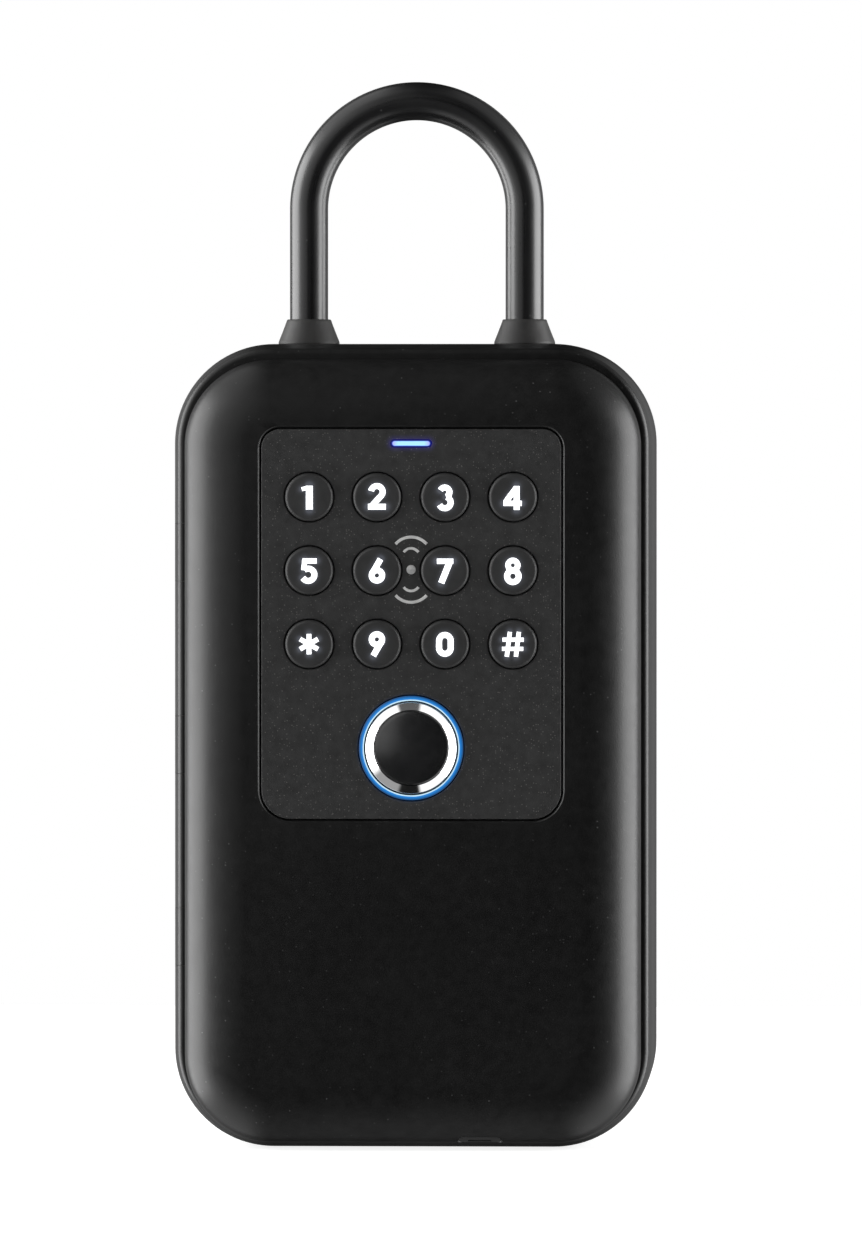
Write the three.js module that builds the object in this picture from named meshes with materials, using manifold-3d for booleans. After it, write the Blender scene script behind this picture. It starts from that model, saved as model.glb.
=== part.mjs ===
// A smart key box: a die-cast case, a hinged keypad door with a motor-driven latch, and a removable
// shackle held by a sliding keyhole plate. Millimetres, +Z up, the door faces -Y. While the pieces
// are made, y is the depth behind the door's front face; the last lines centre the box on its base.
import * as THREE from 'three';
import { mergeVertices } from 'three/addons/utils/BufferGeometryUtils.js';
import Module from 'manifold-3d';

const manifold = await Module();
manifold.setup();

// Clearances, and how far a cut runs past the face it opens
const gap = 0.3;
const fineGap = 0.2;
const overrun = 1;
const sharpCorner = 0.2;

// Body
const box = {
  depth: 48, corner: 20.8, wall: 2.4, backWall: 2.5, rimRound: 2.3, backRound: 3, head: 17.8,
};
const door = {
  sideInset: 2.6, topInset: 3.4, bottomInset: 1.5, depth: 9.5, corner: 18, shoulderWidth: 13,
  shoulderDepth: 8.5, wall: 2.2,
};
const flange = { inset: 7.4, thickness: 3.2 };
const seal = { inset: 5.55, width: 0.9, thickness: 1.2 };
const hinge = {
  pinRadius: 1, knuckle: 12, first: 38, pitch: 40, count: 3, ribDepth: 4, ribBottom: 10.4, webWidth: 1.6,
};

// Keypad panel and what sits in it: the keys and the sensor set its size
const panel = {
  thickness: 2.4, lowCorner: 6, highCorner: 4, ledge: 1.4, ledgeDepth: 1.7, collar: 2.4, rise: 1.9,
};
const key = { radius: 5, proud: 0.8, edge: 0.4, flange: 0.8, flangeDepth: 0.8, travel: 0.7 };
const keyGrid = { leftMargin: 9.95, rightMargin: 9.97, topMargin: 14.1, pitchX: 14.06, pitchZ: 15.2 };
const keyRows = [['1', '2', '3', '4'], ['5', '6', '7', '8'], ['star', '9', '0', 'hash']];
const light = { width: 8.3, height: 1.3, margin: 3, flange: 0.65, cornerShare: 0.48 };
const sensor = {
  margin: 14.7, belowKeys: 21.5, ringRadius: 10.85, bezelRadius: 9.6, glassRadius: 7.7, bezelProud: 0.8,
  flangeDepth: 0.8, flange: 1.35, glassThickness: 1.1, dish: 0.3, dishShare: 0.6, moduleRadius: 6.4,
  moduleSide: 24, moduleThickness: 0.65,
};
// Where the bezel's face turns, as shares of its width and of how far it stands proud
const bezelShares = [[0, 0], [0.4, 0.85], [0.7, 1], [0.92, 0.7], [1, 0.2]];
const mat = { margin: 1.8, dome: 3.6, domeRise: 0.4, thickness: 0.9, behind: 2 };
const board = {
  side: 1.95, bottomMargin: 2, topMargin: 1.1, thickness: 1.4, corner: 1.8, screwSide: 0.15, lowScrew: 3.1,
  highScrew: 3.5, chipWidth: 16.5, chipHeight: 10.8,
};

// Door tray and what it carries side by side: the cells in their bay, then the motor
const tray = { plate: 1.2, depth: 18.7, wall: 1.6, backWall: 1.8, clearance: 1.4, corner: 4, head: 2.1 };
const screw = {
  radius: 0.9, head: 2.1, headHeight: 1.3, post: 2.8, slotShare: 0.6, edgeShare: 0.6, crownShare: 0.7,
  panShare: 0.8,
};
const cell = {
  radius: 5.25, length: 44.5, pitch: 11, count: 4, place: 10.9, capShare: 0.36, stepShare: 0.18,
  contactShare: 0.8,
};
const bay = {
  side: 2.4, before: 0.25, after: 3.25, bottom: 17.3, front: 5.3, lip: 0.4, groove: 0.8, grooveDepth: 1.2,
  grips: 4,
};
const contact = { thickness: 0.9, spring: 2.6, room: 1.9 };
const motor = { depth: 8.7, width: 12, thickness: 10, length: 25, shaft: 1, apart: 4.3, side: 2.2 };
const clamp = { sheet: 0.7, rise: 9.5, height: 6, ear: 4.4 };
const gear = {
  teeth: 10, module: 0.8, toothTip: 0.5, toothRoot: 0.85, height: 8.7, head: 1.1, below: 2.8,
  toothShare: 0.4, rootShare: 1.6, tipShare: 0.5, rackBaseShare: 0.8, rackCrestShare: 0.3,
};
const rackTeeth = [-4, -3, -2, -1, 0, 1, 2];
const bolt = { length: 28, reach: 0.8, head: 1.9, height: 10.1, thickness: 3.3 };
const buzzer = { radius: 4.5, height: 4, side: 8.2, below: 6.5, cup: 0.9, cupShare: 0.6 };
const usb = {
  x: 14, depth: 6.5, width: 9, height: 3.2, cavity: 0.5, top: 12.5, corner: 1.4, boreShare: 0.85,
};
const usbCheekShares = [0.55, 0.75];

// Shackle and its lock
const shackle = { rod: 4, span: 22.6, rise: 28.3, insert: 17.7, fromBack: 18, neck: 2.9, neckHeight: 4 };
const boot = { height: 5.2, base: 6.4, top: 4.6, spigot: 5.4, spigotDepth: 2.9, bore: 4.15 };
const socket = { bore: 4.3, boss: 6.8, neckAbove: 3.3 };
const slide = { overhang: 8.4, reach: 6, thickness: 2.8, hole: 4.4, slot: 3.1, travel: 4.5, tab: 12 };
const cover = {
  overhang: 10.4, reach: 8, thickness: 1.8, rail: 1.5, post: 2.5, postPlace: 9.5, pilotDepth: 7.5,
  screwDepth: 6.5,
};
const wallHole = { inset: 20, low: 30, fromTop: 37.4, radius: 2.5, stem: 2.1, head: 4, headHeight: 1 };
const liner = { inset: 4.4, fromTop: 21.4, thickness: 0.9 };

// Fineness of round things
const arcSteps = 6;
const fewSteps = 2;
const pillSteps = 3;
const roundSides = 20;
const keySides = 16;
const sensorSides = 32;
const smallSides = 10;
const barSteps = 24;
const barSides = 6;

// An outline in the plane of the door, with rounded corners
function outline(left, right, bottom, top, lowCorner, highCorner = lowCorner) {
  return { left, right, bottom, top, lowCorner, highCorner };
}

function grow(shape, by) {
  return outline(
    shape.left - by, shape.right + by, shape.bottom - by, shape.top + by,
    Math.max(shape.lowCorner + by, sharpCorner), Math.max(shape.highCorner + by, sharpCorner),
  );
}

function ring(shape, steps) {
  const { left, right, bottom, top, lowCorner, highCorner } = shape;
  const corners = [
    [right - lowCorner, bottom + lowCorner, lowCorner, 3],
    [right - highCorner, top - highCorner, highCorner, 0],
    [left + highCorner, top - highCorner, highCorner, 1],
    [left + lowCorner, bottom + lowCorner, lowCorner, 2],
  ];
  const points = [];
  for (const [x, z, radius, quarter] of corners) {
    for (let step = 0; step <= steps; step += 1) {
      const angle = (quarter + step / steps) * Math.PI / 2;
      points.push(new THREE.Vector2(x + radius * Math.cos(angle), z + radius * Math.sin(angle)));
    }
  }
  return points;
}

// Turns a closed three.js geometry into a solid that can be joined and cut
function solid(geometry) {
  geometry.deleteAttribute('normal');
  geometry.deleteAttribute('uv');
  const merged = mergeVertices(geometry);
  const vertProperties = Float32Array.from(merged.attributes.position.array);
  const corners = Array.from(merged.index.array);
  const kept = [];
  let volume = 0;
  const point = (index) => new THREE.Vector3().fromArray(vertProperties, index * 3);
  for (let start = 0; start < corners.length; start += 3) {
    const [a, b, c] = corners.slice(start, start + 3);
    if (a === b || b === c || c === a) continue;
    kept.push([a, b, c]);
    volume += point(a).dot(point(b).cross(point(c)));
  }
  const triVerts = Uint32Array.from(kept.flatMap(([a, b, c]) => (volume > 0 ? [a, b, c] : [a, c, b])));
  return new manifold.Manifold(new manifold.Mesh({ numProp: 3, vertProperties, triVerts }));
}

// Joins matching rings of points, each at its own depth, into one closed body
function loft(sections) {
  const count = sections[0].points.length;
  const positions = sections.flatMap(({ depth, points }) => points.flatMap((p) => [p.x, depth, p.y]));
  const index = [];
  for (let level = 0; level + 1 < sections.length; level += 1) {
    for (let side = 0; side < count; side += 1) {
      const a = level * count + side;
      const b = level * count + (side + 1) % count;
      index.push(a, a + count, b, b, a + count, b + count);
    }
  }
  const last = (sections.length - 1) * count;
  for (const [a, b, c] of THREE.ShapeUtils.triangulateShape(sections[0].points, [])) {
    index.push(a, b, c);
  }
  for (const [a, b, c] of THREE.ShapeUtils.triangulateShape(sections.at(-1).points, [])) {
    index.push(last + a, last + c, last + b);
  }
  const geometry = new THREE.BufferGeometry();
  geometry.setAttribute('position', new THREE.Float32BufferAttribute(positions, 3));
  geometry.setIndex(index);
  return solid(geometry);
}

function slab(shape, front, back, steps = arcSteps) {
  const points = ring(shape, steps);
  return loft([{ depth: front, points }, { depth: back, points }]);
}

function block(left, right, front, back, bottom, top) {
  const geometry = new THREE.BoxGeometry(right - left, back - front, top - bottom);
  geometry.translate((left + right) / 2, (front + back) / 2, (bottom + top) / 2);
  return solid(geometry);
}

function rodAlongY(radius, front, back, x, z, sides = roundSides) {
  const geometry = new THREE.CylinderGeometry(radius, radius, back - front, sides);
  return solid(geometry.translate(x, (front + back) / 2, z));
}

function rodAlongZ(radius, bottom, top, x, y, sides = roundSides) {
  const geometry = new THREE.CylinderGeometry(radius, radius, top - bottom, sides);
  return solid(geometry.rotateX(Math.PI / 2).translate(x, y, (bottom + top) / 2));
}

// A profile of [radius, depth] points turned about a line along Y
function turned(profile, x, z, sides = roundSides) {
  const points = profile.map(([radius, depth]) => new THREE.Vector2(radius, depth));
  return solid(new THREE.LatheGeometry(points, sides).translate(x, 0, z));
}

// A profile of [radius, height] points turned about an upright line
function turnedUpright(profile, x, y, sides = roundSides) {
  const points = profile.map(([radius, height]) => new THREE.Vector2(radius, -height));
  return solid(new THREE.LatheGeometry(points, sides).rotateX(-Math.PI / 2).translate(x, y, 0));
}

function joined(pieces) {
  return pieces.reduce((whole, piece) => whole.add(piece));
}

function cut(shape, tools) {
  return tools.reduce((whole, tool) => whole.subtract(tool), shape);
}

// Finishes of the pieces
const finish = (color, roughness, metalness) => ({ color, roughness, metalness });
const powderCoat = finish(0x1b1c1e, 0.5, 0.2);
const moulding = finish(0x2b2c2d, 0.6, 0);
const keyPlastic = finish(0x333436, 0.5, 0);
const innerPlastic = finish(0x26272a, 0.6, 0);
const blackRubber = finish(0x2a2a2a, 0.85, 0);
const siliconeGrey = finish(0xb9bcbd, 0.7, 0);
const steel = finish(0xa9adb2, 0.35, 1);
const brightChrome = finish(0xe2e4e8, 0.12, 1);
const blackSteel = finish(0x18191a, 0.3, 0.6);
const darkGlass = finish(0x08090a, 0.08, 0);
const blueLens = finish(0x2a86e8, 0.4, 0);
const whiteLens = finish(0xdfe6ff, 0.4, 0);
const boardGreen = finish(0x1d4a33, 0.5, 0);
const cellJacket = finish(0x3c5f7d, 0.35, 0.2);
const brass = finish(0xb08d4a, 0.4, 1);
const feltGrey = finish(0x3d3f42, 0.95, 0);

const keyBox = new THREE.Group();

function add(name, shape, look) {
  const mesh = shape.getMesh();
  const geometry = new THREE.BufferGeometry();
  geometry.setAttribute('position', new THREE.BufferAttribute(Float32Array.from(mesh.vertProperties), 3));
  geometry.setIndex(new THREE.BufferAttribute(Uint32Array.from(mesh.triVerts), 1));
  geometry.computeVertexNormals();
  const piece = new THREE.Mesh(geometry, new THREE.MeshStandardMaterial(look));
  piece.name = name;
  keyBox.add(piece);
}

// Sizes and places that several pieces share: what the tray holds sets the width, and the cells, the
// panel and the shackle's sockets stand above each other
const columns = keyRows[0].length;
const bayWidth = bay.before + cell.count * cell.pitch + bay.after;
const clampSide = motor.width / 2 + gap;
const clampReach = clampSide + clamp.sheet + clamp.ear;
const trayWidth = bay.side + bayWidth + 2 * tray.wall + motor.apart + 2 * clampReach + motor.side;
const half = trayWidth / 2 + flange.inset + tray.clearance;
const trayRight = trayWidth / 2;
const bayLeft = -trayRight + bay.side;
const bayRight = bayLeft + bayWidth;
const motorPlace = bayRight + tray.wall + motor.apart + clampReach;
const cellBottom = bay.bottom + contact.room;
const trayTop = cellBottom + cell.length + gap + contact.thickness + tray.head;
const boltTop = trayTop - bolt.head;
const boltBottom = boltTop - bolt.height;
const gearTop = boltTop - gear.head;
const gearBottom = gearTop - gear.height;
const motorTop = gearBottom - gear.below;
const motorBottom = motorTop - motor.length;
const clampBottom = motorBottom + clamp.rise;
const clampTop = clampBottom + clamp.height;
const panelWidth = keyGrid.leftMargin + (columns - 1) * keyGrid.pitchX + keyGrid.rightMargin;
const panelBottom = trayTop + panel.rise;
const sensorPlace = panelBottom + sensor.margin;
const lowestKeys = sensorPlace + sensor.belowKeys;
const highestKeys = lowestKeys + (keyRows.length - 1) * keyGrid.pitchZ;
const panelTop = highestKeys + keyGrid.topMargin;
const lightPlace = panelTop - light.margin;
const boxHeight = panelTop + box.head;
const rimFront = door.depth + gap;
const flangeBack = rimFront + flange.thickness;
const backInner = box.depth - box.backWall;
const hingeX = -half + box.rimRound;
const hingeY = rimFront + box.rimRound;
const caseShape = outline(-half, half, 0, boxHeight, box.corner);
const doorShape = outline(
  -half + door.sideInset, half - door.sideInset, door.bottomInset, boxHeight - door.topInset, door.corner,
);
const panelShape = outline(
  -panelWidth / 2, panelWidth / 2, panelBottom, panelTop, panel.lowCorner, panel.highCorner,
);
const lightShape = outline(
  -light.width / 2, light.width / 2, lightPlace - light.height / 2, lightPlace + light.height / 2,
  light.height * light.cornerShare,
);
const usbShape = outline(
  usb.x - usb.width / 2, usb.x + usb.width / 2, -usb.height / 2, usb.height / 2, usb.corner,
);
const knuckles = Array.from({ length: hinge.count }, (unused, index) => hinge.first + index * hinge.pitch);
const hingeTop = knuckles.at(-1) + hinge.knuckle;
const shackleDepth = box.depth - shackle.fromBack;
const bendHeight = boxHeight + shackle.rise;
const legEnd = boxHeight - shackle.insert;
const neckBottom = legEnd + socket.neckAbove;
const slideBottom = neckBottom + (shackle.neckHeight - slide.thickness) / 2;
const bossBottom = slideBottom + slide.thickness + gap;
const coverTop = legEnd - gap;
const topInner = boxHeight - box.wall;
const legPlaces = [-shackle.span, shackle.span];
const postPlaces = [-cover.postPlace, cover.postPlace];
const wallHolePlaces = [-half + wallHole.inset, half - wallHole.inset].flatMap(
  (x) => [wallHole.low, boxHeight - wallHole.fromTop].map((z) => [x, z]),
);

// Rear case: a tray with a rounded rim, a flange that the latch hooks behind, a hinge rib on the
// left, and bosses under the top wall for the shackle and its lock
function rearCase() {
  const turns = [0, 1, 2, 3].map((step) => step / 3 * Math.PI / 2);
  const rounded = (depth, towards, radius) => turns.map((turn) => ({
    depth: depth + towards * radius * (1 - Math.cos(turn)),
    points: ring(grow(caseShape, -radius * (1 - Math.sin(turn))), arcSteps),
  }));
  const shell = loft([
    ...rounded(rimFront, 1, box.rimRound), ...rounded(box.depth, -1, box.backRound).reverse(),
  ]);
  const cavity = slab(grow(caseShape, -box.wall), flangeBack, backInner);
  const mouth = slab(grow(caseShape, -flange.inset), rimFront - overrun, flangeBack + overrun);
  const grooveOuter = grow(caseShape, gap - seal.inset);
  const grooveInner = grow(caseShape, -seal.inset - seal.width - gap);
  const grooveDepth = seal.thickness + fineGap;
  const groove = slab(grooveOuter, rimFront - overrun, rimFront + grooveDepth)
    .subtract(slab(grooveInner, rimFront - 2 * overrun, rimFront + grooveDepth + overrun));
  const rib = block(
    -half + box.wall / 2, -half + flange.inset, flangeBack - overrun, flangeBack + hinge.ribDepth,
    hinge.ribBottom, hingeTop + 2 * gap + box.wall,
  ).intersect(shell);
  const bosses = legPlaces.map(
    (x) => rodAlongZ(socket.boss, bossBottom, topInner + overrun, x, shackleDepth),
  );
  const posts = postPlaces.map(
    (x) => rodAlongZ(cover.post, coverTop + gap, topInner + overrun, x, shackleDepth, smallSides),
  );
  const body = joined([cut(shell, [cavity, mouth]), rib, ...bosses, ...posts]);
  const notches = knuckles.map((bottom) => block(
    hingeX - box.rimRound - overrun, hingeX + box.rimRound + gap, rimFront - overrun,
    hingeY + box.rimRound + gap, bottom - gap, bottom + hinge.knuckle + gap,
  ));
  const pinBore = rodAlongZ(hinge.pinRadius + fineGap, 0, hingeTop + box.wall, hingeX, hingeY, smallSides);
  const legBores = legPlaces.flatMap((x) => [
    rodAlongZ(socket.bore, bossBottom - overrun, boxHeight + overrun, x, shackleDepth),
    rodAlongZ(
      boot.spigot + gap, boxHeight - boot.spigotDepth - gap, boxHeight + overrun, x, shackleDepth,
    ),
  ]);
  const pilots = postPlaces.map((x) => rodAlongZ(
    screw.radius + fineGap, coverTop - overrun, coverTop + cover.pilotDepth, x, shackleDepth, smallSides,
  ));
  const wallHoles = wallHolePlaces.map(
    ([x, z]) => rodAlongY(wallHole.radius, backInner - overrun, box.depth + overrun, x, z),
  );
  const tools = [groove, ...notches, pinBore, ...legBores, ...pilots, ...wallHoles];
  add('rear_case', cut(body, tools), powderCoat);
}

// Door seal: a soft ring in the flange's groove
function doorSeal() {
  const front = door.depth + fineGap;
  const outer = slab(grow(caseShape, -seal.inset), front, front + seal.thickness);
  const inner = slab(
    grow(caseShape, -seal.inset - seal.width), front - overrun, front + seal.thickness + overrun,
  );
  add('door_seal', outer.subtract(inner), blackRubber);
}

function hingePin() {
  const bottom = box.corner - Math.sqrt(2 * box.corner * box.rimRound - box.rimRound ** 2) + overrun;
  const top = hingeTop + box.wall - gap;
  add('hinge_pin', rodAlongZ(hinge.pinRadius, bottom, top, hingeX, hingeY, smallSides), steel);
}

// Door cover: a shell with a wide soft shoulder, the panel's window with a ledge behind it, posts for
// the board and the tray, and three hinge knuckles
const trayScrews = { upperInset: 13, fromTop: 15.4, lowerInset: 22, rise: 12.5 };
const upperTrayScrews = { x: half - trayScrews.upperInset, z: boxHeight - trayScrews.fromTop };
const lowerTrayScrews = { x: half - trayScrews.lowerInset, z: trayScrews.rise };
const boardBottom = panelBottom + board.bottomMargin;
const boardTop = panelTop - board.topMargin;
const boardScrews = [
  [-panelWidth / 2 - board.screwSide, boardBottom + board.lowScrew],
  [panelWidth / 2 + board.screwSide, boardTop - board.highScrew],
];

function shoulderSections(shape, width, depth, start, steps, inset) {
  const sections = [];
  for (let step = 0; step <= steps; step += 1) {
    const turn = step / steps * Math.PI / 2;
    const edge = inset + width * (1 - Math.sin(turn));
    const points = ring(grow(shape, -edge), arcSteps);
    sections.push({ depth: start + depth * (1 - Math.cos(turn)), points });
  }
  return sections;
}

function doorShell() {
  const steps = arcSteps - 1;
  const outer = shoulderSections(doorShape, door.shoulderWidth, door.shoulderDepth, 0, steps, 0);
  outer.push({ depth: door.depth, points: outer.at(-1).points });
  const inner = shoulderSections(
    doorShape, door.shoulderWidth - door.wall, door.shoulderDepth - door.wall, door.wall, steps, door.wall,
  );
  inner.push({ depth: door.depth + overrun, points: inner.at(-1).points });
  return { outer: loft(outer), cavity: loft(inner) };
}

function usbOpening(clearance, bottom, top) {
  const points = ring(grow(usbShape, clearance), fewSteps);
  const opening = loft([{ depth: bottom, points }, { depth: top, points }]);
  return opening.rotate([90, 0, 0]).translate([0, usb.depth, 0]);
}

const boardFront = door.wall + panel.ledgeDepth + mat.behind;

function frontCover(shell) {
  const collarBack = panel.thickness + gap + panel.ledgeDepth;
  const collar = slab(grow(panelShape, panel.collar), door.wall / 2, collarBack);
  const postBack = door.depth - tray.plate - gap;
  const trayPosts = [
    [-upperTrayScrews.x, upperTrayScrews.z], [upperTrayScrews.x, upperTrayScrews.z],
    [-lowerTrayScrews.x, lowerTrayScrews.z], [lowerTrayScrews.x, lowerTrayScrews.z],
  ];
  const posts = trayPosts.map(([x, z]) => rodAlongY(screw.post, door.wall / 2, postBack, x, z, smallSides));
  const boardPosts = boardScrews.map(
    ([x, z]) => rodAlongY(screw.post, door.wall / 2, boardFront - fineGap, x, z, smallSides),
  );
  const knuckleBodies = knuckles.flatMap((bottom) => [
    rodAlongZ(box.rimRound, bottom, bottom + hinge.knuckle, hingeX, hingeY),
    block(
      hingeX + gap, hingeX + gap + hinge.webWidth, door.depth - door.wall, hingeY, bottom,
      bottom + hinge.knuckle,
    ),
  ]);
  const body = joined([
    cut(shell.outer, [shell.cavity]), collar, ...posts, ...boardPosts, ...knuckleBodies,
  ]);
  const pilots = [...trayPosts, ...boardScrews].map(([x, z]) => rodAlongY(
    screw.radius + fineGap, door.wall + gap, door.depth + overrun, x, z, smallSides,
  ));
  add('front_cover', cut(body, [
    slab(grow(panelShape, gap), -overrun, panel.thickness + gap),
    slab(grow(panelShape, -panel.ledge), 0, collarBack + overrun),
    rodAlongZ(hinge.pinRadius + fineGap, 0, boxHeight, hingeX, hingeY, smallSides),
    usbOpening(fineGap, 0, usb.top / 2),
    ...pilots,
  ]), powderCoat);
}

const keyPlaces = keyRows.flatMap((row, rowIndex) => row.map((label, column) => ({
  label,
  x: keyGrid.leftMargin - panelWidth / 2 + column * keyGrid.pitchX,
  z: highestKeys - rowIndex * keyGrid.pitchZ,
})));

// Keypad panel with its twelve key holes, the light's slot and the sensor's hole
function keypadPanel() {
  const back = panel.thickness;
  const past = back + overrun;
  add('keypad_panel', cut(slab(panelShape, 0, back), [
    ...keyPlaces.map(({ x, z }) => rodAlongY(key.radius + fineGap, -overrun, past, x, z, keySides)),
    slab(grow(lightShape, fineGap), -overrun, past, pillSteps),
    rodAlongY(sensor.ringRadius + fineGap, -overrun, past, 0, sensorPlace, sensorSides),
  ]), moulding);
}

function keys() {
  const flangeFront = panel.thickness + fineGap;
  const flangeEnd = flangeFront + key.flangeDepth;
  for (const { label, x, z } of keyPlaces) {
    add(`key_${label}`, turned([
      [0, -key.proud], [key.radius - key.edge, -key.proud], [key.radius, key.edge - key.proud],
      [key.radius, flangeFront], [key.radius + key.flange, flangeFront],
      [key.radius + key.flange, flangeEnd], [0, flangeEnd],
    ], x, z, keySides), keyPlastic);
  }
}

// Status light: a pill-shaped light pipe with a flange behind the panel
function statusLight() {
  const flangeFront = panel.thickness + gap;
  add('status_light', joined([
    slab(lightShape, 0, flangeFront + fineGap, pillSteps),
    slab(grow(lightShape, light.flange), flangeFront, flangeFront + light.flange, pillSteps),
  ]), whiteLens);
}

// Fingerprint sensor: a lit ring, a dished chrome bezel, a round glass and the module behind
const ringFlangeFront = panel.thickness + gap;
const bezelFlangeFront = ringFlangeFront + sensor.flangeDepth + gap;
const moduleFront = bezelFlangeFront + sensor.flangeDepth + gap;

function sensorStack() {
  const place = sensorPlace;
  const ringBore = sensor.bezelRadius + fineGap;
  const ringFlange = sensor.ringRadius + sensor.flange;
  add('sensor_light_ring', turned([
    [ringBore, 0], [sensor.ringRadius, 0], [sensor.ringRadius, ringFlangeFront],
    [ringFlange, ringFlangeFront],
    [ringFlange, ringFlangeFront + sensor.flangeDepth], [ringBore, ringFlangeFront + sensor.flangeDepth],
    [ringBore, 0],
  ], 0, place, sensorSides), blueLens);
  const bezel = sensor.bezelRadius;
  const bore = sensor.glassRadius + fineGap;
  const seat = gap + sensor.glassThickness + gap;
  const throat = sensor.moduleRadius + gap;
  const flangeEdge = ringFlange - gap;
  const slope = bezel - bore;
  add('sensor_bezel', turned([
    ...bezelShares.map(([across, out]) => [bore + slope * across, -sensor.bezelProud * out]),
    [bezel, bezelFlangeFront], [flangeEdge, bezelFlangeFront],
    [flangeEdge, bezelFlangeFront + sensor.flangeDepth], [throat, bezelFlangeFront + sensor.flangeDepth],
    [throat, seat], [bore, seat], [bore, 0],
  ], 0, place, sensorSides), brightChrome);
  add('sensor_glass', turned([
    [0, gap + sensor.dish], [sensor.glassRadius * sensor.dishShare, gap + sensor.dish / 2],
    [sensor.glassRadius, gap],
    [sensor.glassRadius, gap + sensor.glassThickness], [0, gap + sensor.glassThickness],
  ], 0, place), darkGlass);
  const side = sensor.moduleSide / 2;
  add('sensor_module', joined([
    rodAlongY(sensor.moduleRadius, seat, moduleFront + fineGap, 0, place),
    block(
      -side, side, moduleFront, moduleFront + sensor.moduleThickness, place - side / 2, place + side / 2,
    ),
  ]), boardGreen);
}

// Key mat: a silicone sheet with a dome behind each key
function keyMat() {
  const domeFront = panel.thickness + fineGap + key.flangeDepth + key.travel + fineGap;
  const sheetFront = domeFront + mat.domeRise;
  const reach = key.radius + mat.margin;
  const sheet = outline(
    keyPlaces[0].x - reach, keyPlaces.at(-1).x + reach, keyPlaces.at(-1).z - reach, keyPlaces[0].z + reach,
    mat.margin,
  );
  add('key_mat', joined([
    slab(sheet, sheetFront, sheetFront + mat.thickness, fewSteps),
    ...keyPlaces.map(({ x, z }) => rodAlongY(mat.dome, domeFront, sheetFront + fineGap, x, z, smallSides)),
  ]), siliconeGrey);
}

function screwAlongY(name, x, z, headFront, tip) {
  const headBack = headFront + screw.headHeight;
  const recess = block(
    x - screw.head * screw.slotShare, x + screw.head * screw.slotShare, headBack - screw.headHeight / 2,
    headBack + overrun,
    z - screw.radius / 3, z + screw.radius / 3,
  );
  add(name, turned([
    [0, tip], [screw.radius, tip + screw.radius / 2], [screw.radius, headFront],
    [screw.head, headFront], [screw.head, headFront + screw.headHeight * screw.edgeShare],
    [screw.head * screw.crownShare, headBack], [0, headBack],
  ], x, z, smallSides).subtract(recess), steel);
}

function mainBoard() {
  const back = boardFront + board.thickness;
  const side = panelWidth / 2 + board.side;
  const sheet = outline(-side, side, boardBottom, boardTop, board.corner);
  const chip = block(
    -board.chipWidth / 2, board.chipWidth / 2, back - fineGap, back + gap, sensorPlace,
    sensorPlace + board.chipHeight,
  );
  add('main_board', cut(slab(sheet, boardFront, back, fewSteps).add(chip), boardScrews.map(
    ([x, z]) => rodAlongY(screw.radius + fineGap, boardFront - overrun, back + overrun, x, z, smallSides),
  )), boardGreen);
  boardScrews.forEach(([x, z], index) => {
    add(`board_screw_${index + 1}`, turned([
      [0, door.wall + 2 * gap], [screw.radius, door.wall + 3 * gap], [screw.radius, back + fineGap / 2],
      [screw.head, back + fineGap / 2],
      [screw.head * screw.panShare, back + fineGap / 2 + screw.headHeight / 2],
      [0, back + fineGap / 2 + screw.headHeight / 2],
    ], x, z, smallSides), steel);
  });
}

// Door tray: closes the door's back and swells behind the batteries and the latch
const trayShape = outline(
  -trayRight, trayRight, flange.inset + tray.clearance, trayTop,
  box.corner - flange.inset - tray.clearance, tray.corner,
);
const trayFront = door.depth - tray.plate;
const trayInner = tray.depth - tray.backWall;
const clampFront = motor.depth - motor.thickness / 2 - gap - clamp.sheet;
const clampEarFront = trayInner - cell.radius;
const clampScrews = [-1, 1].map((side) => motorPlace + side * (clampReach - clamp.ear / 2));
const clampHeight = (clampBottom + clampTop) / 2;
const firstCell = bayLeft + bay.before + cell.pitch / 2;
const cellPlaces = Array.from({ length: cell.count }, (unused, index) => firstCell + index * cell.pitch);
const boltFront = trayInner - gap - bolt.thickness;
const boltRight = trayRight + bolt.reach;
const buzzerX = trayRight - buzzer.side;
const buzzerZ = motorBottom - buzzer.below;

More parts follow.
